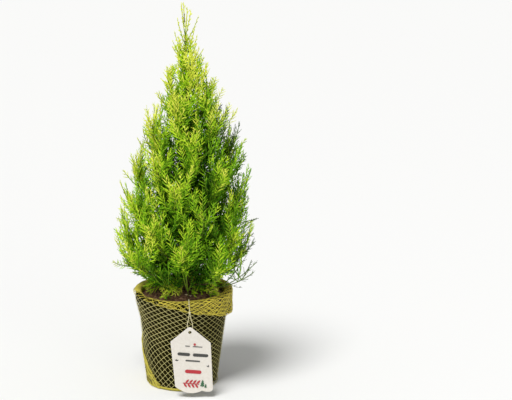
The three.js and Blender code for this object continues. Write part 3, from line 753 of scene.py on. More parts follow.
def make_gather_folds():
    columns, rows = 90, 34
    angles = np.radians(np.linspace(GATHER["from_angle"], GATHER["to_angle"], columns))
    angle, up = np.meshgrid(angles, np.linspace(0, 1, rows), indexing="ij")
    top = gather_top(np.degrees(angle))
    z = lerp(0.9, top, up)
    from_edge = top - z
    folds = 0.55 * np.sin(from_edge * 1.15 + 0.6 * np.sin(6 * angle))
    folds = folds + 0.3 * np.sin(from_edge * 2.3 + 9 * angle)
    ends = np.minimum(1, (np.arange(columns) / 6))[:, None] * smoothstep(up, -0.2, 0.12)
    outer = polar(net_inner_radius(z) + 0.9 + (0.9 + folds) * ends * smoothstep(1 - up, -0.3, 0.15), angle, z)
    inner = polar(net_inner_radius(z) + 0.8, angle, z)
    vertices = np.concatenate([outer.reshape(-1, 3), inner.reshape(-1, 3)])
    front = grid(columns, rows)
    shift = columns * rows
    loop = np.concatenate([
        np.arange(columns) * rows, (columns - 1) * rows + np.arange(1, rows),
        np.arange(columns - 2, -1, -1) * rows + rows - 1, np.arange(rows - 2, 0, -1)])
    after = np.roll(loop, -1)
    rim = np.stack([loop, loop + shift, after + shift, after], -1)
    faces = np.concatenate([front, front[:, ::-1] + shift, rim])
    piece_from("net_gather_folds", vertices, faces, "net_gathered", ["net_gather"], smooth=True)


def make_gather_strands():
    """Creases along the wedge, strands that cross them, and the twisted hem round the pot's foot."""
    heap = Heap()
    random = np.random.RandomState(SEEDS["gather"])
    line = np.radians(np.linspace(GATHER["from_angle"], GATHER["to_angle"] + 3, 60))
    for depth in np.concatenate([np.linspace(0.2, 7, 8), random.uniform(8, 44, 9)]):
        wave = depth + 0.9 * np.sin(line * random.uniform(5, 11) + random.uniform(0, TAU))
        z = np.clip(gather_top(np.degrees(line)) - wave, 1.2, None)
        lift = 1.75 + 0.4 * np.sin(line * 21 + depth) + 0.3 * random.uniform(-1, 1)
        path = polar(net_inner_radius(z) + lift, line, z)
        heap.add(*tubes(path[None], random.uniform(0.38, 0.6), 5, outward_from_axis(path)[None]))

    def crossing_rows(angle, z):
        return z / 4.4 + 2.2 * np.sin(angle - math.radians(215)) + 0.3 * np.sin(11 * angle)

    def on_wedge(middle):
        angle = degrees_of(middle)
        inside = (angle > GATHER["from_angle"]) & (angle < GATHER["to_angle"])
        return inside & (middle[:, 2] < gather_top(angle))

    net_layer(heap, 52, 0.2, crossing_rows, sleeve_place(1.35), np.linspace(1.2, 62, 50), 0.36, 4, on_wedge)
    turn = np.linspace(0, TAU, 500)
    thick = 0.1 + 0.9 * smoothstep(facing(turn, 215), 0.35, 0.85)
    for k in range(6):
        around = 37 * turn + k * TAU / 6
        ring = polar(37.0 + 0.7 * thick * np.cos(around), turn, 0.7 + thick + 0.9 * thick * np.sin(around))
        heap.add(*tubes(ring[None], (0.1 + 0.24 * thick)[None], 4, (0.0, 0.0, 1.0)))
    heap.make("net_gather_strands", "net_gather_strand", "net")


# The tag and its string

# The tag's own frame has X to its right, Y up and Z towards the camera, from its peak. Its right
# shoulder hangs lower than the left. Its marks slope by some degrees.
SHOULDERS = dict(right=3.3, left=-0.8)
MARKS = dict(slope=-8.3, middle=(1.3, -30.4), thickness=0.07)


def on_tag(points):
    turn = Matrix.Rotation(math.radians(-TAG["roll"]), 4, "Y") @ Matrix.Rotation(math.pi / 2, 4, "X")
    matrix = np.array(Matrix.Translation(TAG["peak"]) @ turn)
    return np.asarray(points, float) @ matrix[:3, :3].T + matrix[:3, 3]


def tag_outline():
    half, foot = TAG["width"] / 2, -TAG["height"]
    right_drop, left_drop = (TAG["shoulder_drop"] + SHOULDERS[side] for side in ("right", "left"))
    curves = [
        quadratic((-2.5, -0.9), (0, 0.9), (2.5, -0.9)),
        quadratic((half - 0.4, -right_drop + 0.2), (half, -right_drop), (half, -right_drop - 0.6), 3),
        quadratic((half - 0.8, foot + 5), (half - 1.2, foot + 1), (half - 5, foot + 1)),
        quadratic((half - 5, foot + 1), (half - 9, foot + 1), (half - 12, foot + 3))[1:],
        quadratic((half - 12, foot + 3), (0, foot - 1), (-half + 12, foot + 2))[1:],
        quadratic((-half + 12, foot + 2), (-half + 6, foot + 5), (-half + 1.6, foot + 9))[1:],
        quadratic((-half, -left_drop - 0.6), (-half, -left_drop), (-half + 0.4, -left_drop + 0.2), 3),
    ]
    return np.concatenate(curves)


def tag_bow(x, y):
    """The card bows a little: its sides stand back and its foot curls forwards."""
    return -0.0012 * x**2 + 0.00022 * np.minimum(y + 20, 0) ** 2


def flat_sheet(name, loops, low, high, material, replaced=()):
    """A flat plate on the tag between two depths, with a small bevel. Its first loop is its outline."""
    curve = bpy.data.curves.new(name, "CURVE")
    curve.dimensions = "2D"
    curve.fill_mode = "BOTH"
    for loop in loops:
        spline = curve.splines.new("POLY")
        spline.points.add(len(loop) - 1)
        for point, (x, y) in zip(spline.points, loop):
            point.co = (x, y, 0, 1)
        spline.use_cyclic_u = True
    curve.extrude = (high - low) / 2
    curve.bevel_depth = min(0.08, (high - low) / 5)
    curve.offset = -curve.bevel_depth
    curve.bevel_resolution = 1
    temporary = bpy.data.objects.new(name, curve)
    bpy.context.scene.collection.objects.link(temporary)
    bpy.context.view_layer.update()
    mesh = bpy.data.meshes.new_from_object(temporary.evaluated_get(bpy.context.evaluated_depsgraph_get()))
    bpy.data.objects.remove(temporary)
    points = np.zeros(len(mesh.vertices) * 3)
    mesh.vertices.foreach_get("co", points)
    points = points.reshape(-1, 3)
    points[:, 2] += (low + high) / 2 + tag_bow(points[:, 0], points[:, 1])
    mesh.vertices.foreach_set("co", (on_tag(points) * MM).ravel())
    mesh.update()
    place_piece(name, mesh, material, replaced)


def rounded_bar(x, y, width, height, steps=6):
    half = height / 2
    turn = np.linspace(-math.pi / 2, math.pi / 2, steps + 1)
    right = np.stack([width / 2 - half + half * np.cos(turn), half * np.sin(turn)], -1)
    return np.concatenate([right, -right]) + (x, y)


def rotated(points, angle):
    return points @ np.array([[math.cos(angle), math.sin(angle)], [-math.sin(angle), math.cos(angle)]])


def leaf_outline(x, y, length, width, angle, steps=7):
    share = np.linspace(0, 1, steps + 1)
    side = width / 2 * np.sin(share * math.pi) ** 0.8
    upper = np.stack([share * length, side], -1)
    lower = np.stack([share * length, -side], -1)[-2:0:-1]
    return rotated(np.concatenate([upper, lower]), angle) + (x, y)


def tree_outline(x, y, size):
    """A small conifer of three stacked triangles on a short foot."""
    side = np.array([(0.04, 0.0), (0.04, 0.12), (0.3, 0.12), (0.14, 0.42), (0.24, 0.42), (0.1, 0.7),
                     (0.17, 0.7)])
    return np.concatenate([side, [(0, 1)], side[::-1] * (-1, 1)]) * size + (x, y)


def tag_marks():
    """The plain marks on the tag: bars, a sprig, two trees and two buds, each with its colour."""
    bars = [(-6.2, 9.6, 5, 0.8, "grey"), (4.2, 9.6, 10, 0.8, "grey"), (1.1, 11.9, 2.6, 2.6, "red"),
            (-9.3, 0.6, 13, 3.3, "grey"), (8.0, 0.6, 16, 3.3, "grey"), (0.5, -6.0, 15, 1.5, "grey"),
            (1.9, -17.6, 17, 3.8, "red")]
    marks = [(f"tag_bar_{k + 1}", rounded_bar(*bar[:4]), bar[4]) for k, bar in enumerate(bars)]
    marks.append(("tag_sprig_stem", rounded_bar(0.6, -30.6, 17, 0.8), "red"))
    for k in range(4):
        for side, end, shift in ((1, "up", 1), (-1, "low", -0.6)):
            leaf = leaf_outline(-6.2 + 3.9 * k + shift, -30.6 + 0.2 * side, 5.4, 2.0, side * math.radians(50))
            marks.append((f"tag_sprig_leaf_{k + 1}_{end}", leaf, "red"))
    for k, tree in enumerate([(12.4, -33.6, 8.0), (15.9, -34.4, 4.6)]):
        marks.append((f"tag_tree_{k + 1}", tree_outline(*tree), "green"))
    for k, (x, y) in enumerate([(-16.0, -7.4), (17.0, -11.6)]):
        for j, turn in enumerate((40, 90, 140)):
            leaf = leaf_outline(x, y, 2.6, 1.0, math.radians(turn))
            marks.append((f"tag_bud_{k + 1}_{j + 1}", leaf, "grey"))
    return marks


def make_tag():
    """The card and its marks, whose lines slope down to the right, as the card's shoulders do."""
    half_thick = TAG["thickness"] / 2
    turn = np.arange(20) / 20 * TAU
    hole = np.stack([np.cos(turn), np.sin(turn)], -1) * TAG["hole_radius"] + (0, -TAG["hole_drop"])
    flat_sheet("tag_card", [tag_outline(), hole], -half_thick, half_thick, "card", ["tag"])
    for name, outline, color in tag_marks():
        placed = rotated(outline, math.radians(MARKS["slope"])) + MARKS["middle"]
        flat_sheet(name, [placed], half_thick, half_thick + MARKS["thickness"], "print_" + color)


def smooth_path(points, steps):
    """A Catmull-Rom curve through points."""
    points = np.asarray(points, float)
    padded = np.concatenate([2 * points[:1] - points[1:2], points, 2 * points[-1:] - points[-2:-1]])
    at = np.linspace(0, len(points) - 1 - 1e-9, steps)
    i = at.astype(int)
    t = (at - i)[:, None]
    a, b, c, d = (padded[i + k] for k in range(4))
    return 0.5 * (2 * b + (c - a) * t + (2 * a - 5 * b + 4 * c - d) * t**2 + (3 * b - a - 3 * c + d) * t**3)


def twisted(path):
    """The string's two plies, wound round a path."""
    radius = STRING["radius"]
    step = np.linalg.norm(np.diff(path, axis=0), axis=1)
    turn = np.concatenate([[0], np.cumsum(step)]) / STRING["pitch"] * TAU
    along = unit(np.gradient(path, axis=0))
    across = unit(np.cross(along, (1.0, 0.15, 0.1)))
    third = np.cross(along, across)
    plies = []
    for half in (0, math.pi):
        offset = across * np.cos(turn + half)[:, None] + third * np.sin(turn + half)[:, None]
        plies.append(path + offset * radius * STRING["ply_offset"])
    return tubes(np.stack(plies), radius * STRING["ply_radius"], 6, (1.0, 0.15, 0.1))


def make_string():
    """The tail runs from the knot over the cuff, and the loop down through the tag's hole."""
    x, y, _ = TAG["peak"]
    knot = np.array([x, y - 0.2, STRING["knot_z"]])
    hole = on_tag([(0, -TAG["hole_drop"], 0)])[0]
    rise = STRING["knot_z"] - hole[2]
    front = -CUFF["outer"] - 1.2
    over = cuff_top(-math.pi / 2) + 1.15
    tail = [knot, (x - 0.1, front, knot[2] + 3), (x - 0.5, front, over - 3.5),
            (x - 0.6, -CUFF["outer"] - 0.1, over - 0.4), (x - 0.7, -CUFF["inner"] - 4, over + 0.1),
            (x - 0.8, -CUFF["inner"] + 0.4, over - 0.5), (x - 0.9, -CUFF["inner"] + 1.6, over - 4.5)]
    behind = hole[1] + 1.3
    low = hole[2] + TAG["hole_radius"] - STRING["radius"]
    loop = [knot, (x + 1.6, knot[1] + 0.5, hole[2] + 0.66 * rise),
            (x + 3.1, behind - 0.2, hole[2] + 0.36 * rise),
            (hole[0] + 2.0, behind, low + 1.6), (hole[0] + 0.8, behind - 0.3, low + 0.2),
            (hole[0], behind - 0.9, low), (hole[0] - 0.8, behind - 0.3, low + 0.2),
            (hole[0] - 1.6, behind, low + 1.6), (x - 2.3, behind - 0.2, hole[2] + 0.36 * rise),
            (x - 1.2, knot[1] + 0.5, hole[2] + 0.66 * rise), knot]
    heap = Heap()
    for points, steps in ((tail, 90), (loop, 160)):
        heap.add(*twisted(smooth_path(points, steps)))
    turn = np.linspace(0, 2 * TAU, 60)
    coil = knot + polar(STRING["coil"], turn, np.linspace(-0.8, 0.8, 60))
    heap.add(*tubes(coil[None], STRING["coil_radius"], 6, (0.1, 0.1, 1.0)))
    heap.make("string_of_tag", "string", "string", ["tag_string"], smooth=True)


# The trunk and the crown's rule, as in the part

# Each kind of plume has its number of branchlets, their span along the stem, their greatest length at
# the crown's foot and its top, their spread from the stem at its foot and tip in degrees, the step
# between shoots, the greatest length of a shoot and the width of its needles.
GROWTH = dict(
    upright=dict(count=28, span=(0.1, 0.84), longest=(44, 22), spread=(54, 27), step=2.4, shoot=11.0,
                 width=1.0),
    soil=dict(count=12, span=(0.2, 0.95), longest=(24, 24), spread=(54, 26), step=2.1, shoot=6.0,
              width=0.55),
    stray=dict(step=3.4, shoot=4.5, width=0.65),
    leader=dict(count=4, span=(0.04, 0.7), longest=(12, 12), spread=(24, 16), step=2.5, shoot=3.0,
                width=0.75),
    trunk=dict(count=150, span=(0.0, 0.98), longest=(60, 24), spread=(58, 27), step=2.8, shoot=9.0,
               width=1.0),
)


def trunk_at(z):
    z = np.asarray(z, float)
    share = (z - SOIL["crest_z"]) / (TRUNK["top_z"] - SOIL["crest_z"])
    x = TRUNK["foot_x"] - 2.5 * share + 1.5 * np.sin(3 * share)
    y = TRUNK["foot_y"] + 4 * share + 1.2 * np.sin(2.5 * share)
    return np.stack([x, y, z], -1)


def trunk_radius(z):
    rise = z - SOIL["crest_z"]
    share = np.clip(rise / (TRUNK["top_z"] - SOIL["crest_z"]), 0, 1)
    flare = TRUNK["flare"] * np.exp(-rise / TRUNK["flare_height"])
    return lerp(TRUNK["foot_radius"], TRUNK["tip_radius"], share**0.9) + flare


def crown_radius(z):
    up = np.maximum(0, (z - CROWN["wide_z"]) / (TOTAL_HEIGHT - CROWN["wide_z"]))
    return CROWN["radius"] * np.maximum(0, 1 - up * up) ** CROWN["power"]


def tip_heights(count):
    heights = np.arange(CROWN["low_tip"], CROWN["high_tip"])
    running = np.cumsum(crown_radius(heights) + PLUMES["tip_evenness"])
    return [int(heights[np.argmax(running >= running[-1] * (i + 0.5) / count)]) for i in range(count)]


def plume_controls(angle, start_z, bend, tip, twist=0.0):
    out = np.array([math.cos(angle), math.sin(angle), 0])
    start = trunk_at(start_z) + out * (float(trunk_radius(start_z)) + GAP + PLUMES["stem_radius"] * 0.6)
    drift = trunk_at(tip[1]) * np.array([0.5, 0.5, 0])
    bend_at = np.array([bend[0] * math.cos(angle), bend[0] * math.sin(angle), bend[1]]) + drift
    turned_by = angle + twist
    tip_at = np.array([tip[0] * math.cos(turned_by), tip[0] * math.sin(turned_by), tip[1]]) + drift
    return np.stack([start, bend_at, tip_at])


def all_plumes():
    plumes = []

    def add(name, controls, height, kind, seed):
        plumes.append(dict(name=name, controls=controls, height=height, kind=kind, seed=seed, **GROWTH[kind]))

    for i, tip_z in enumerate(tip_heights(PLUMES["count"])):
        draw = random_from(i + 1)
        height = (tip_z - CROWN["low_tip"]) / (CROWN["high_tip"] - CROWN["low_tip"])
        climb = PLUMES["even_share"] * height + (1 - PLUMES["even_share"]) * height * height
        start_z = lerp(PLUMES["first_start"], PLUMES["last_start"], climb)
        inset = PLUMES["inset"] * lerp(0.95, 1.05, draw())
        reach = float(crown_radius(tip_z)) * inset + PLUMES["top_reach"] * height
        bend = (reach * lerp(0.82, 0.72, height), lerp(start_z, tip_z, lerp(0.42, 0.3, height)))
        twist = lerp(-0.12, 0.12, draw())
        controls = plume_controls(i * GOLDEN_ANGLE + 0.5, start_z, bend, (reach, tip_z), twist)
        add(f"plume_{i + 1:02d}", controls, height, "upright", i + 1)
    for i, (name, angle, *route) in enumerate(LOW_PLUMES):
        kind = "stray" if name == "stray_plume" else "soil"
        add(name, plume_controls(math.radians(angle), *route), 0.0, kind, SEEDS["low_plumes"] + i)
        if name == SPARSE_PLUME["name"]:
            plumes[-1]["count"] = SPARSE_PLUME["count"]
    top = trunk_at(TRUNK["top_z"] + GAP)
    tip = (top[0] - 1.6, top[1] + 0.6, TOTAL_HEIGHT)
    add("leader_plume", np.stack([top, top + (-0.8, 0.2, 16), tip]), 1.0, "leader", SEEDS["leader"])
    return plumes


def make_trunk(heap):
    foot = SOIL["crest_z"] + GAP
    heights = np.concatenate([np.linspace(foot, foot + 8, 14), np.linspace(foot + 9, TRUNK["top_z"], 150)])
    sides = 18
    turn = np.arange(sides) / sides * TAU
    relief = np.random.RandomState(SEEDS["trunk"]).normal(size=(len(heights), sides))
    for _ in range(3):
        relief = (relief + np.roll(relief, 1, 0) + np.roll(relief, -1, 0)) / 3
    lobes = 1 + 0.12 * np.cos(5 * turn)[None] * np.exp(-(heights - foot) / 4)[:, None]
    radius = trunk_radius(heights)[:, None] * np.clip(1 + 0.35 * relief, 0.8, 1.2) * lobes
    vertices = trunk_at(heights)[:, None] + polar(radius, turn[None], 0.0)
    heap.add(vertices, tube_faces(1, len(heights), sides)[:, ::-1])


def make_wood(plumes):
    """The trunk and the woody feet of all branches, with the bark's relief, and the stems' thin ends."""
    heap = Heap()
    make_trunk(heap)
    random = np.random.RandomState(SEEDS["wood"])
    share = np.linspace(0, 0.42, 16)
    feet = [p for p in plumes if p["kind"] != "leader"]
    paths = np.stack([bezier(p["controls"], share) for p in feet])
    paths[:, 0] -= 0.35 * (paths[:, 1] - paths[:, 0])
    base = np.array([lerp(1.25, 0.75, p["height"]) if p["kind"] == "upright" else 0.8 for p in feet])
    radii = base[:, None] * lerp(1.05, 0.62, share / share[-1])[None]
    heap.add(*tubes(paths, radii * random.uniform(0.9, 1.12, radii.shape), 7))
    boughs = [f"bough_{k + 1}" for k in range(PLUMES["boughs"])]
    heap.make("trunk_and_boughs", "bark", "bark", ["trunk"] + boughs, smooth=True)
    share = np.linspace(0.4, 0.985, 22)
    paths = np.stack([bezier(p["controls"], share * stem_end(p)) for p in plumes])
    vertices, faces = tubes(paths, lerp(0.62, 0.2, (share - 0.4) / 0.585)[None], 5)
    piece_from("stems", vertices, faces, "twig", smooth=True)


# The foliage: branchlets round each stem, shoots round each branchlet, needles round each shoot
TRUNK_SPRAYS = (108, 335)
AXIS_STEP = 1.6
BEND = 0.46
BETWEEN = dict(count=900, low=120, high=366, step=2.5, shoot=10.0, nearest=4.0, least=14, most=58)
SHELL_OVER = 1.0
SPIRES = dict(count=120, low=150, high=372, step=2.0, shoot=7.0, least=14, most=50, width=0.9)
# Hollows with painted shade and ridges with painted light on the crown's front: middle and half width on X,
# low and high z.
HOLLOWS = [(24, 8, 168, 250), (-9, 5, 168, 212), (5, 4, 100, 126)]
RIDGES = [(10, 9, 153, 250), (-29, 8, 186, 271), (43, 8, 218, 255), (42, 26, 112, 174)]
# Thin tips that stand out from the crown's sides and top, as (x, z), and level ones at its foot.
SIDE_TIPS = [
    (-47, 260), (-61, 229), (-50, 227), (-65, 215), (-64, 204), (-38, 284), (-40, 273), (-27, 310),
    (-25, 298), (-17, 335), (-11, 354), (-54, 243), (64, 261), (54, 271), (64, 244), (67, 236), (69, 229),
    (67, 210), (68, 198), (65, 190), (55, 292), (45, 296), (41, 310), (30, 325), (25, 340), (20, 353),
    (16, 357), (60, 252)]
LEVEL_TIPS = [(-73, 131), (-72, 148), (-66, 139), (-52, 121), (-45, 116), (-69, 159), (-71, 167), (-69, 176),
              (-65, 190), (-64, 197), (71, 132), (74, 150), (73, 160), (75, 169), (76, 176)]
LEADER_TIPS = [(-2.1, 400), (3.9, 395), (7.5, 393), (14.9, 387), (-5.9, 385), (-9.1, 371), (-4.8, 367),
               (11.4, 375), (14, 368), (-10.5, 362)]
# Where twigs leave the stray branch, by its share, and where they end, as (x, y, z).
STRAY_TIPS = [(0.5, (76, -24, 137)), (0.75, (69, -22, 129)), (0.6, (60, -26, 110)), (0.45, (65, -18, 141)),
              (0.8, (66, -27, 119))]
# Sprays that hang round the trunk's foot and end just above the soil, as (x, y, z).
FOOT_TIPS = [(-4, -24, 103), (-9, -19, 104), (-16, -23, 104), (-24, -15, 105), (11, -24, 103), (15, -18, 104),
             (20, -26, 103), (25, -18, 104), (-13, 14, 105), (17, 12, 105)]
FOOT_SPRAYS = dict(low=110, high=119, droop=-0.8, step=1.8, shoot=5.5, width=0.6)
# The trunk's foot stays in view along the camera's slope.
FOOT_VIEW = dict(slope=0.313, half_width=4.5, top=114)
# A colour with more faces than this is made in more than one piece.
MOST_FACES = 190000


def distance_to_stems(points, stems):
    """The distance from each point to each stem, a row of points."""
    starts, along = stems[:, :-1], np.diff(stems, axis=1)
    length = (along**2).sum(-1)
    nearest = np.full((len(points), len(stems)), np.inf)
    for k in range(starts.shape[1]):
        from_start = points[:, None] - starts[None, :, k]
        share = np.clip((from_start * along[None, :, k]).sum(-1) / length[None, :, k], 0, 1)
        gap = np.linalg.norm(from_start - share[..., None] * along[None, :, k], axis=-1)
        nearest = np.minimum(nearest, gap)
    return nearest


def ground_height(points):
    x, y = points[:, 0], points[:, 1]
    radius = np.hypot(x, y)
    rim = np.where(radius < CUFF["outer"] + 1, cuff_top(np.arctan2(y, x)), 0)
    return np.where(radius < CUFF["inner"] - 1, soil_height(x, y), rim)


def side_vectors(along, turn):
    """Unit vectors square to each direction, turned round it."""
    side = np.cross((0.0, 0.0, 1.0), along)
    side[np.linalg.norm(side, axis=-1) < 0.05] = (1.0, 0.0, 0.0)
    side = unit(side)
    third = np.cross(along, side)
    return side * np.cos(turn)[:, None] + third * np.sin(turn)[:, None]


def trunk_beside(points):
    """The trunk's middle at each point's height."""
    return trunk_at(np.clip(points[:, 2], 100, 370))


def crown_edge(z):
    """The crown's outline. Its top is slimmer than the smooth cone."""
    return crown_radius(z) - 5 * smoothstep(z, 295, 322) * (1 - 0.5 * smoothstep(z, 355, 375))


def crown_centre(z):
    """The crown leans to its right as it rises. This is its middle there, on X."""
    lean = 2.5 * smoothstep(z, 150, 180) + 5.5 * smoothstep(z, 205, 240)
    return lean * (1 - 0.55 * smoothstep(z, 320, 365))


def stem_end(plume):
    """How far a plume's stem is followed. Near the top the thin tips beyond it stand for its last part."""
    return 1.0 - 0.14 * float(smoothstep(plume["controls"][2][2], 305, 335)) * (plume["kind"] == "upright")


def take(rows, chosen):
    return {key: value[chosen] for key, value in rows.items()}


def joined(groups):
    return {key: np.concatenate([group[key] for group in groups]) for key in groups[0]}


def branchlet_rows(root, along, direction, length, **same):
    """Branchlets as one dict of arrays. A value that is the same for all is spread over them."""
    rows = {key: np.broadcast_to(value, len(root)) for key, value in same.items()}
    return dict(root=root, along=along, direction=direction, length=length, **rows)


def branchlet_points(branchlets, share):
    """Places on curved branchlets. They bend towards the stem's own direction and upwards."""
    share = np.asarray(share)[:, None]
    length = branchlets["length"][:, None]
    straight = branchlets["direction"] * (length * share)
    bend = (branchlets["along"] - branchlets["direction"]) * (length * BEND * share**2)
    return branchlets["root"] + straight + bend


def towards(root, tips, rise, owner, step, shoot, width=1.0, axis=0.0):
    """Branchlets from their roots to given tips. The greater the rise, the more upright their ends."""
    length = np.linalg.norm(tips - root, axis=1)
    along = unit(unit(tips - root) + (0.0, 0.0, rise))
    direction = (tips - root - BEND * length[:, None] * along) / ((1 - BEND) * length)[:, None]
    return branchlet_rows(root, along, direction, length, share=0.6, owner=owner, step=step, shoot=shoot,
                          axis=axis, width=width)


def opened(tips, random):
    """Which tips are left out, for sky at the crown's sides and top and for hollows in front."""
    x, y, z = tips.T
    aside = x / (crown_radius(z) + 1)
    left = smoothstep(-aside, 0.5, 0.8) * smoothstep(z, 130, 170)
    right = smoothstep(aside, 0.6, 0.85) * smoothstep(-z, -230, -180)
    right_foot = smoothstep(aside, 0.55, 0.8) * (z < 160)
    share = 0.45 * left + 0.4 * right + 0.2 * right_foot + 0.3 * smoothstep(z, 245, 330)
    share = share + 0.16 * smoothstep(z, 318, 332) * (1 - smoothstep(z, 350, 362))
    for middle, width, low, high in HOLLOWS:
        inside = (np.abs(x - middle) < width) & (z > low) & (z < high) & (y < -0.35 * crown_radius(z))
        share = np.maximum(share, 0.65 * inside)
    return random.uniform(size=len(tips)) < share


def before_foot(points):
    """Whether points lie between the camera and the trunk's foot, which stays in view."""
    x, y, z = points.T
    behind = z + FOOT_VIEW["slope"] * (y - TRUNK["foot_y"])
    beside = np.abs(x - TRUNK["foot_x"]) < FOOT_VIEW["half_width"]
    return beside & (y < TRUNK["foot_y"]) & (behind < FOOT_VIEW["top"])


def is_free(points, owner, stems, reach, slack, roots):
    """Whether points lie above the soil, inside the crown's reach and in their own plume's space."""
    x, y, z = points.T
    skirt = 104 + 1.1 * np.maximum(np.hypot(x, y) - 34, 0)
    if owner is not None and owner >= PLUMES["count"]:
        skirt = 0
    clear = (z > np.maximum(ground_height(points) + 0.8, skirt)) & (z < TOTAL_HEIGHT - 1)
    limit = np.maximum(crown_edge(z) + SHELL_OVER, reach - 4 * smoothstep(z, 300, 330))
    clear &= np.hypot(x - crown_centre(z), y) < limit
    gaps = distance_to_stems(points, stems)
    if owner is None:
        return clear & (gaps.min(1) > np.linalg.norm(points - roots, axis=1) * 0.45 - slack)
    own = gaps[:, owner].copy()
    gaps[:, owner] = np.inf
    return clear & (gaps.min(1) > own - slack)


def axis_branchlet(plume, index):
    """A branchlet that follows the outer part of the plume's own stem."""
    root, start, tip = (bezier(plume["controls"], s)[None] for s in (0.4, 0.42, stem_end(plume)))
    direction = unit(start - root)
    length = np.linalg.norm(tip - root, axis=1)
    along = direction + (tip - root - length * direction) / (BEND * length)
    step = plume["step"] if plume["kind"] in ("leader", "stray") else AXIS_STEP
    return branchlet_rows(root, along, direction, length, share=1.0, owner=index, step=step,
                          shoot=plume["shoot"], axis=1.0, width=plume["width"])


def grow_branchlets(plume, index, stems):
    """Branchlets round a plume's stem, or round the trunk."""
    kind, height, count = plume["kind"], plume["height"], plume["count"]
    random = np.random.RandomState(plume["seed"])
    draw = random_from(plume["seed"] + 500)
    if kind == "upright":
        count = round(count * lerp(1, 0.3, height**2))
    share = lerp(*plume["span"], (np.arange(count) + 0.3) / count)
    if kind == "trunk":
        z = lerp(*TRUNK_SPRAYS, share)
        roots = trunk_at(z)
        along = unit(trunk_at(z + 1) - trunk_at(z - 1))
        height = (z - CROWN["low_tip"]) / (CROWN["high_tip"] - CROWN["low_tip"])
        taper = 1.0
    else:
        roots = bezier(plume["controls"], share)
        along = unit(bezier(plume["controls"], share + 0.01) - bezier(plume["controls"], share - 0.01))
        taper = np.minimum(lerp(0.6, 1.0, np.clip(share / 0.3, 0, 1)),
                           lerp(1.0, 0.4, np.clip((share - 0.35) / 0.5, 0, 1)))
    turn = draw() * TAU + np.arange(count) * GOLDEN_ANGLE + random.normal(0, 0.2, count)
    spread = np.radians(lerp(*plume["spread"], share)) * random.uniform(0.85, 1.15, count)
    direction = along * np.cos(spread)[:, None] + side_vectors(along, turn) * np.sin(spread)[:, None]
    length = lerp(*plume["longest"], height) * taper * random.uniform(0.72, 1.12, count)
    bulge = crown_centre(roots[:, 2] + 15) / 6 * np.cos(np.arctan2(direction[:, 1], direction[:, 0]))
    length = length * (1 + 0.3 * bulge)
    lift = np.full(count, 0.1)
    if kind in ("upright", "trunk"):
        lift = np.clip((roots[:, 2] - 112) / 60, 0.1, 0.8)
    rise = unit(along + (0.0, 0.0, 1.0) * lift[:, None])
    if kind == "soil":
        rise = unit(along + (0, 0, -0.25))
    reach = np.hypot(roots[-1, 0], roots[-1, 1]) + 1.5
    for _ in range(10):
        tips = roots + direction * length[:, None] * 0.75 + rise * length[:, None] * 0.25
        free = is_free(tips, None if kind == "trunk" else index, stems, reach, 5.0, roots)
        length = np.where(free, length, length * 0.82)
    keep = free & (length > 2.5) & ~opened(tips, random)
    keep &= ~before_foot(tips) & ~before_foot(0.5 * (roots + tips))
    rows = branchlet_rows(roots, rise, direction, length, share=share, owner=index, step=plume["step"],
                          shoot=plume["shoot"], axis=0.0, width=plume["width"])
    return take(rows, keep)


def grow_plume(plume, index, stems):
    """All branchlets of one plume, its axis last."""
    if plume["kind"] == "stray":
        share, tips = (np.array(column, float) for column in zip(*STRAY_TIPS))
        root = bezier(plume["controls"], share)
        rows = towards(root, tips, 0.35, index, plume["step"], plume["shoot"], plume["width"])
    else:
        rows = grow_branchlets(plume, index, stems)
    return rows if plume["kind"] == "trunk" else joined([rows, axis_branchlet(plume, index)])


def roots_below(tips, stems, steepness, least, most):
    """The nearest place on the wood from which each tip can be reached, and whether there is one."""
    places = np.concatenate([stems[:, 1:-3].reshape(-1, 3), trunk_at(np.linspace(104, 366, 60))])
    apart = tips[:, None] - places[None]
    level = np.hypot(apart[..., 0], apart[..., 1])
    distance = np.linalg.norm(apart, axis=-1)
    fits = (apart[..., 2] > steepness[0] * level) & (apart[..., 2] < steepness[1] * level)
    fits &= (distance > least) & (distance < most)
    chosen = np.where(fits, distance, np.inf)
    return places[chosen.argmin(1)], np.isfinite(chosen.min(1))


def heights_over_crown(area, random):
    """Heights spread over the crown by its girth, with a little scatter."""
    count = area["count"]
    heights = np.arange(area["low"], area["high"], 0.5)
    running = np.cumsum(crown_radius(heights) + 4)
    even = np.interp((np.arange(count) + 0.5) / count * running[-1], running, heights)
    return even + random.normal(0, 4, count)


def grow_spires(stems, index):
    """Thin upright tips all round the crown, those that stand out at its sides, and its splayed top."""
    random = np.random.RandomState(SEEDS["spires"])
    count = SPIRES["count"]
    z = heights_over_crown(SPIRES, random)
    reach = crown_edge(z) * random.uniform(0.93, 1.05, count) + 1
    around = polar(reach, np.arange(count) * GOLDEN_ANGLE + 1, z)
    around[:, 0] += crown_centre(z)
    sides = np.array([(x, random.normal(0, 9), z) for x, z in SIDE_TIPS])
    level = np.array([(x, random.normal(0, 9), z) for x, z in LEVEL_TIPS])
    # Each group has the least and the greatest slope of its twigs, and the rise of their ends.
    sprays = [(around, (1.3, 5.0), 3.0), (sides, (0.9, 6.0), 0.7), (level, (0.25, 1.3), 0.25)]
    groups = []
    for tips, steepness, rise in sprays:
        root, found = roots_below(tips, stems, steepness, SPIRES["least"], SPIRES["most"])
        groups.append(towards(root[found], tips[found], rise, index, SPIRES["step"], SPIRES["shoot"],
                              SPIRES["width"]))
    top = np.array([(x, random.normal(0, 3), z) for x, z in LEADER_TIPS])
    root = trunk_at(np.clip(top[:, 2] - 27, 340, 368))
    leader = GROWTH["leader"]
    groups.append(towards(root, top, 0.8, index, leader["step"], leader["shoot"], leader["width"]))
    foot, head = trunk_at([318.0, 330.0, 342.0]), trunk_at([345.0, 357.0, 369.0])
    groups.append(towards(foot, head, 0.0, index, 1.3, 4.6, axis=1.0))
    return joined(groups)


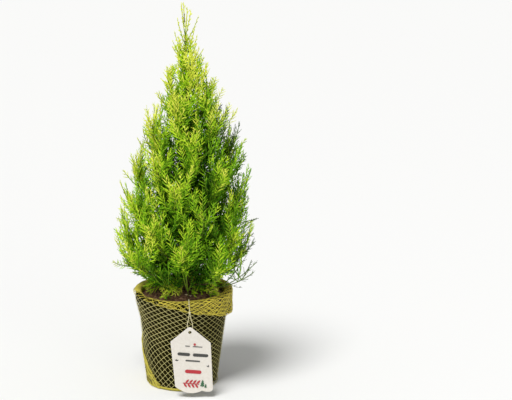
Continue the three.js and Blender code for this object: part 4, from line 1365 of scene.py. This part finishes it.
def grow_foot(stems, index):
    """Thin sprays from low on the trunk that hang over the soil."""
    root = trunk_at(np.linspace(FOOT_SPRAYS["low"], FOOT_SPRAYS["high"], len(FOOT_TIPS)))
    return towards(root, np.array(FOOT_TIPS, float), FOOT_SPRAYS["droop"], index, FOOT_SPRAYS["step"],
                   FOOT_SPRAYS["shoot"], FOOT_SPRAYS["width"])


def grow_between(stems, index):
    """Long branchlets from the nearest stem below to each place on the crown that no plume reaches."""
    random = np.random.RandomState(SEEDS["between"])
    count = BETWEEN["count"]
    z = heights_over_crown(BETWEEN, random)
    depth = np.where(np.arange(count) % 2, random.uniform(0.3, 0.8, count), random.uniform(0.8, 0.98, count))
    tips = polar(crown_edge(z) * depth, np.arange(count) * GOLDEN_ANGLE, z)
    tips[:, 0] += crown_centre(z)
    skirt = 111 + 1.0 * np.maximum(np.hypot(tips[:, 0], tips[:, 1]) - 34, 0)
    clear = (distance_to_stems(tips, stems).min(1) > BETWEEN["nearest"]) & (z > skirt) & (z < 392)
    tips = tips[clear & ~opened(tips, random)]
    root, found = roots_below(tips, stems, (1.4, 5.0), BETWEEN["least"], BETWEEN["most"])
    axis = np.arange(found.sum()) % 3 == 0
    return towards(root[found], tips[found], 4.0, index, BETWEEN["step"], BETWEEN["shoot"], axis=axis)


# Shoots stand over this share of a branchlet, at angles in degrees to it. Long ones fork twice.
SHOOTS = dict(on_share=0.88, spread=(31, 46), least=2.4, forked_from=9.3, fork_turn=0.7,
              fork_share=(0.3, 0.42))


def grow_shoots(branchlets):
    """Shoots to both sides of each branchlet, as in a feather, and a row of them that clothes its axis.

    The flat of each feather is turned outwards from the trunk.
    """
    random = np.random.RandomState(SEEDS["shoots"])
    counts = np.maximum(1, (branchlets["length"] * SHOOTS["on_share"] / branchlets["step"]).astype(int))
    rows = np.repeat(np.arange(len(counts)), counts)
    order = np.concatenate([np.arange(c) for c in counts])
    share = lerp(0.1, 0.97, (order + random.uniform(0.25, 0.75, len(order))) / counts[rows])
    own = take(branchlets, rows)
    origin = branchlet_points(own, share)
    along = unit(branchlet_points(own, share + 0.05) - origin)
    outward = unit((origin - trunk_beside(origin)) * np.array([1, 1, 0.3]) + 1e-6)
    lean = random.normal(0, 0.5, (len(counts), 3))[rows]
    across = unit(np.cross(along, outward + lean))
    flat = np.cross(across, along)
    roll = random.normal(0, 0.45, len(order)) + np.where(order % 2, 0, math.pi)
    roll = np.where(own["axis"] > 0, order * GOLDEN_ANGLE, roll)
    side = across * np.cos(roll)[:, None] + flat * np.sin(roll)[:, None]
    spread = np.radians(random.uniform(*SHOOTS["spread"], len(order)))
    direction = unit(along * np.cos(spread)[:, None] + side * np.sin(spread)[:, None] + (0, 0, 0.06))
    least = np.minimum(SHOOTS["least"], 0.6 * own["shoot"])
    most = np.maximum(own["shoot"] * lerp(1, 0.6, smoothstep(origin[:, 2], 280, 360)), least)
    length = np.clip(least + 0.4 * own["length"] * (1 - share), least, most)
    length = length * random.uniform(0.8, 1.15, len(order))
    groups = [dict(origin=origin, direction=direction, length=length, place=share, row=rows)]

    long = np.flatnonzero(length > SHOOTS["forked_from"])
    for at, turn in ((0.36, 1), (0.58, -1)):
        base = origin[long] + direction[long] * (length[long] * at)[:, None]
        twist = across[long] * turn + flat[long] * random.normal(0, 0.4, len(long))[:, None]
        groups.append(dict(origin=base, direction=unit(direction[long] + twist * SHOOTS["fork_turn"]),
                           length=length[long] * random.uniform(*SHOOTS["fork_share"], len(long)),
                           place=share[long], row=rows[long]))

    every = np.arange(len(counts))
    for low, high in ((0.22, 0.42), (0.4, 0.6), (0.58, 0.8), (0.78, 1.0)):
        start, end = (branchlet_points(branchlets, np.full(len(counts), s)) for s in (low, high))
        groups.append(dict(origin=start, direction=unit(end - start),
                           length=np.linalg.norm(end - start, axis=1) + 0.5,
                           place=np.full(len(counts), high), row=every))
    return joined(groups)


NEEDLE = dict(spacing=1.35, length=2.2, half_width=0.38, keel=0.18, core=0.56, curve=0.010, inner_size=1.45,
              inner_share=0.52)
# The triangles of a pair of needles and of a shoot's core.
PAIR_FACES = 4
CORE_FACES = 6


def needle_size(shoots):
    """Needles deep inside the crown are fewer and larger."""
    middle = trunk_beside(shoots["origin"])
    out = np.linalg.norm((shoots["origin"] - middle)[:, :2], axis=1) / (crown_radius(middle[:, 2]) + 4)
    return np.where(out < NEEDLE["inner_share"], NEEDLE["inner_size"], 1.0)


def needle_pairs(shoots):
    return np.maximum(2, np.round(shoots["length"] / NEEDLE["spacing"] / needle_size(shoots))).astype(int)


def grow_needles(shoots):
    """Folded blades of two faces in crossed pairs along each shoot, and its slim core."""
    up = np.array((0, 0, 1))
    length = shoots["length"]
    scale = needle_size(shoots)
    pairs = needle_pairs(shoots)
    rows = np.repeat(np.arange(len(length)), pairs)
    order = np.concatenate([np.arange(p) for p in pairs])
    share = (order + 0.35) / pairs[rows]
    axis = shoots["direction"][rows]
    base_turn = (order % 2) * (math.pi / 2) + shoots["row"][rows] * 0.7 + order * 0.12
    from_foot = (share * length[rows])[:, None]
    place = shoots["origin"][rows] + axis * from_foot + up * NEEDLE["curve"] * from_foot**2
    size = NEEDLE["length"] * lerp(1.0, 0.72, share) * scale[rows]
    lean = np.radians(lerp(18, 9, share))
    heap = Heap()
    for opposite in (0, math.pi):
        radial = side_vectors(axis, base_turn + opposite)
        blade = axis * np.cos(lean)[:, None] + radial * np.sin(lean)[:, None]
        outward = radial * np.cos(lean)[:, None] - axis * np.sin(lean)[:, None]
        across = np.cross(axis, radial) * (NEEDLE["half_width"] * (scale * shoots["width"])[rows])[:, None]
        tip = place + blade * size[:, None]
        middle = place + blade * (0.42 * size)[:, None] - outward * NEEDLE["keel"]
        vertices = np.stack([place, middle + across, tip, middle - across], 1)
        heap.add(vertices, copies([(0, 1, 2), (0, 2, 3)], len(place), 4))
    turn = np.arange(3) / 3 * TAU
    side = side_vectors(shoots["direction"], 0 * length)
    third = np.cross(shoots["direction"], side)
    ring = side[:, None] * np.cos(turn)[None, :, None] + third[:, None] * np.sin(turn)[None, :, None]
    rise = up * (NEEDLE["curve"] * length**2)[:, None]
    foot = shoots["origin"][:, None]
    belly = shoots["origin"] + shoots["direction"] * (0.45 * length)[:, None] + 0.2 * rise
    belly = belly[:, None] + ring * (NEEDLE["core"] * scale * shoots["width"])[:, None, None]
    end = shoots["origin"] + shoots["direction"] * (length * 1.04)[:, None] + rise
    vertices = np.concatenate([foot, belly, end[:, None]], 1)
    faces = [(0, 2, 1), (0, 3, 2), (0, 1, 3), (1, 2, 4), (2, 3, 4), (3, 1, 4)]
    heap.add(vertices, copies(faces, len(length), 5))
    return heap


# The colours from dark to pale, and the tones that divide them.
SHADES = ["deep", "green", "lime", "lemon", "pale"]
SHADE_STEPS = [0.24, 0.42, 0.64, 0.88]
GREY_WIDTH = 0.85
# What makes a spray paler or, where it is below 0, darker. Outer, trunk, lit, ridge, ridges and hollows paint
# light and shade into the colours; outer and trunk also stand for the darker green deep inside the crown.
TONE = dict(start=-0.095, outer=0.5, ridge=0.24, along_stem=0.06, along_branchlet=0.14, height=0.26, top=0.4,
            lit=0.24, upper=0.07, low_front=-0.09, ridges=0.14, hollows=-0.16, trunk=-0.2, spire=0.12,
            by_branchlet=0.13, by_shoot=0.1)


def shoot_ends(shoots):
    return shoots["origin"] + shoots["direction"] * shoots["length"][:, None]


def shade_of(shoots, branchlets, kinds, stems):
    """Deals the colours out by spray: paler towards the outside, the tips, the top and the lit side.

    The paler outside, the lit side, the paler ridges, the darker hollows and the darker sprays from the trunk
    are painted light and shade; the darker inside is partly the crown's own darker inner green as well. The
    last one, grey, is for the stray branch and, as painted shade, for half of the sprays at the shaded right
    side.
    """
    random = np.random.RandomState(SEEDS["shade"])
    by_branchlet = random.normal(0, TONE["by_branchlet"], len(branchlets["length"]))
    rows = shoots["row"]
    ends = shoot_ends(shoots)
    x, y, z = ends.T
    from_trunk = ends - trunk_beside(ends)
    outer = np.clip(np.hypot(from_trunk[:, 0], from_trunk[:, 1]) / (crown_radius(z) + 4), 0, 1.1)
    lit = (-0.8 * x - 0.2 * y) / CROWN["radius"]
    lit = np.where((lit < 0) & (z < 225), 0.2 * lit, lit)
    ridge = 1 - np.clip(distance_to_stems(ends, stems).min(1) / 15, 0, 1)
    value = TONE["start"] + TONE["outer"] * outer**1.8 + TONE["ridge"] * ridge
    value = value + TONE["along_stem"] * branchlets["share"][rows]
    value = value + TONE["along_branchlet"] * shoots["place"]
    value = value + TONE["height"] * np.clip((z - 110) / 290, 0, 1) + TONE["top"] * smoothstep(z, 245, 360)
    value = value + TONE["lit"] * lit + TONE["upper"] * smoothstep(z, 235, 265)
    low_front = smoothstep(-z, -160, -125) * (y < 0) * smoothstep(-np.abs(x), -50, -20)
    value = value + TONE["low_front"] * low_front
    value = value + by_branchlet[rows] + random.normal(0, TONE["by_shoot"], len(rows))
    for tone, zones in ((TONE["ridges"], RIDGES), (TONE["hollows"], HOLLOWS)):
        for middle, width, low, high in zones:
            near = (1 - np.clip(np.abs(x - middle) / width, 0, 1)) * (y < 0) * (z > low) * (z < high)
            value = value + tone * smoothstep(near, 0, 0.6)
    kind = np.array(kinds)[branchlets["owner"][rows]]
    value = value + TONE["trunk"] * (kind == "trunk") + TONE["spire"] * (kind == "spire")
    for low_kind, middle, contrast in (("soil", 0.64, 2), ("foot", 0.66, 1.5)):
        low_value = middle + by_branchlet[rows] * contrast + 0.1 * shoots["place"]
        value = np.where(kind == low_kind, low_value, value)
    # Half of the sprays on the shaded right side turn grey: painted shade.
    drawn_for_shade = (random.uniform(size=len(branchlets["length"])) < 0.5)[rows]
    shaded_side = (x > 0.74 * crown_radius(z) + 3) & (y > -22) & (z < 300)
    grey = (kind == "stray") | drawn_for_shade & shaded_side
    return np.where(grey, len(SHADES), np.digitize(value, SHADE_STEPS))


def above_ground(shoots):
    """Shoots that stay above the soil and rim, and leave the trunk's foot in view."""
    ends = shoot_ends(shoots)
    clear = (ends[:, 2] > ground_height(ends) + 0.2) & (ends[:, 2] < TOTAL_HEIGHT + 1.5)
    return clear & ~before_foot(ends) & ~before_foot(0.5 * (ends + shoots["origin"]))


def make_foliage(plumes):
    stems = np.stack([bezier(p["controls"], np.linspace(0, 1, 15)) for p in plumes])
    sprays = dict(kind="trunk", height=1.0, seed=SEEDS["trunk_sprays"], **GROWTH["trunk"])
    growing = plumes + [sprays]
    kinds = [p["kind"] for p in growing]
    grown = [grow_plume(plume, i, stems) for i, plume in enumerate(growing)]
    for grow, kind in ((grow_between, "between"), (grow_spires, "spire"), (grow_foot, "foot")):
        grown.append(grow(stems, len(kinds)))
        kinds.append(kind)
    branchlets = joined(grown)
    share = np.linspace(0, 0.98, 5)
    paths = np.stack([branchlet_points(branchlets, np.full(len(branchlets["length"]), s)) for s in share], 1)
    radii = lerp(0.5, 0.22, share)[None] * np.clip(branchlets["length"] / 20, 0.6, 1.1)[:, None]
    vertices, faces = tubes(paths, radii, 4)
    piece_from("branchlets", vertices, faces, "green_twig")
    shoots = grow_shoots(branchlets)
    shoots["width"] = branchlets["width"][shoots["row"]]
    shoots = take(shoots, above_ground(shoots))
    shade = shade_of(shoots, branchlets, kinds, stems)
    # The grey sprays are thinner, and every fourth of their shoots is left out.
    grey = shade == len(SHADES)
    shoots["width"] = shoots["width"] * np.where(grey, GREY_WIDTH, 1.0)
    kept = ~grey | (np.arange(len(shade)) % 4 > 0)
    shoots, shade = take(shoots, kept), shade[kept]
    replaced = [p["name"] for p in plumes]
    for k, name in enumerate(SHADES + ["grey"]):
        rows = np.flatnonzero(shade == k)
        faces_each = CORE_FACES + PAIR_FACES * needle_pairs(take(shoots, rows))
        parts = max(1, math.ceil(faces_each.sum() / MOST_FACES))
        for j, chosen in enumerate(np.array_split(rows, parts)):
            heap = grow_needles(take(shoots, chosen))
            heap.make(f"needles_{name}_{j + 1}", "foliage_" + name, "foliage", replaced)
            replaced = []


# The stage: a pale floor, a wide high sun from the front left and a weak fill from the right
STAGE = dict(floor_half=30.0, world=0.36, sun=2.55, sun_width=24, sun_along=(0.26, 0.37, -0.89), fill=3,
             fill_size=1.2, fill_at=(0.9, -1.5, 0.7), fill_aim=(0, 0, 0.2))


def add_light(data, energy, along):
    data.energy = energy
    light = bpy.data.objects.new(data.name, data)
    light.rotation_euler = Vector(along).to_track_quat("-Z", "Y").to_euler()
    bpy.context.scene.collection.objects.link(light)
    return light


def make_stage():
    half = STAGE["floor_half"]
    mesh = bpy.data.meshes.new("floor")
    corners = [(-half, -half, 0), (half, -half, 0), (half, half, 0), (-half, half, 0)]
    mesh.from_pydata(corners, [], [(0, 1, 2, 3)])
    mesh.materials.append(MATERIALS["floor"])
    floor = bpy.data.objects.new("floor", mesh)
    bpy.context.scene.collection.objects.link(floor)
    world = bpy.data.worlds.new("studio")
    world.use_nodes = True
    world.node_tree.nodes["Background"].inputs["Color"].default_value = (1, 1, 1, 1)
    world.node_tree.nodes["Background"].inputs["Strength"].default_value = STAGE["world"]
    bpy.context.scene.world = world
    sun = bpy.data.lights.new("key", "SUN")
    sun.angle = math.radians(STAGE["sun_width"])
    add_light(sun, STAGE["sun"], STAGE["sun_along"])
    fill = bpy.data.lights.new("fill", "AREA")
    fill.shape = "DISK"
    fill.size = STAGE["fill_size"]
    place = Vector(STAGE["fill_at"])
    add_light(fill, STAGE["fill"], Vector(STAGE["fill_aim"]) - place).location = place
    bpy.context.scene.view_settings.view_transform = "Standard"


plumes = all_plumes()
make_pot()
make_soil()
make_sleeve()
make_cuff()
make_gather_folds()
make_gather_strands()
make_tag()
make_string()
make_wood(plumes)
make_foliage(plumes)
make_stage()
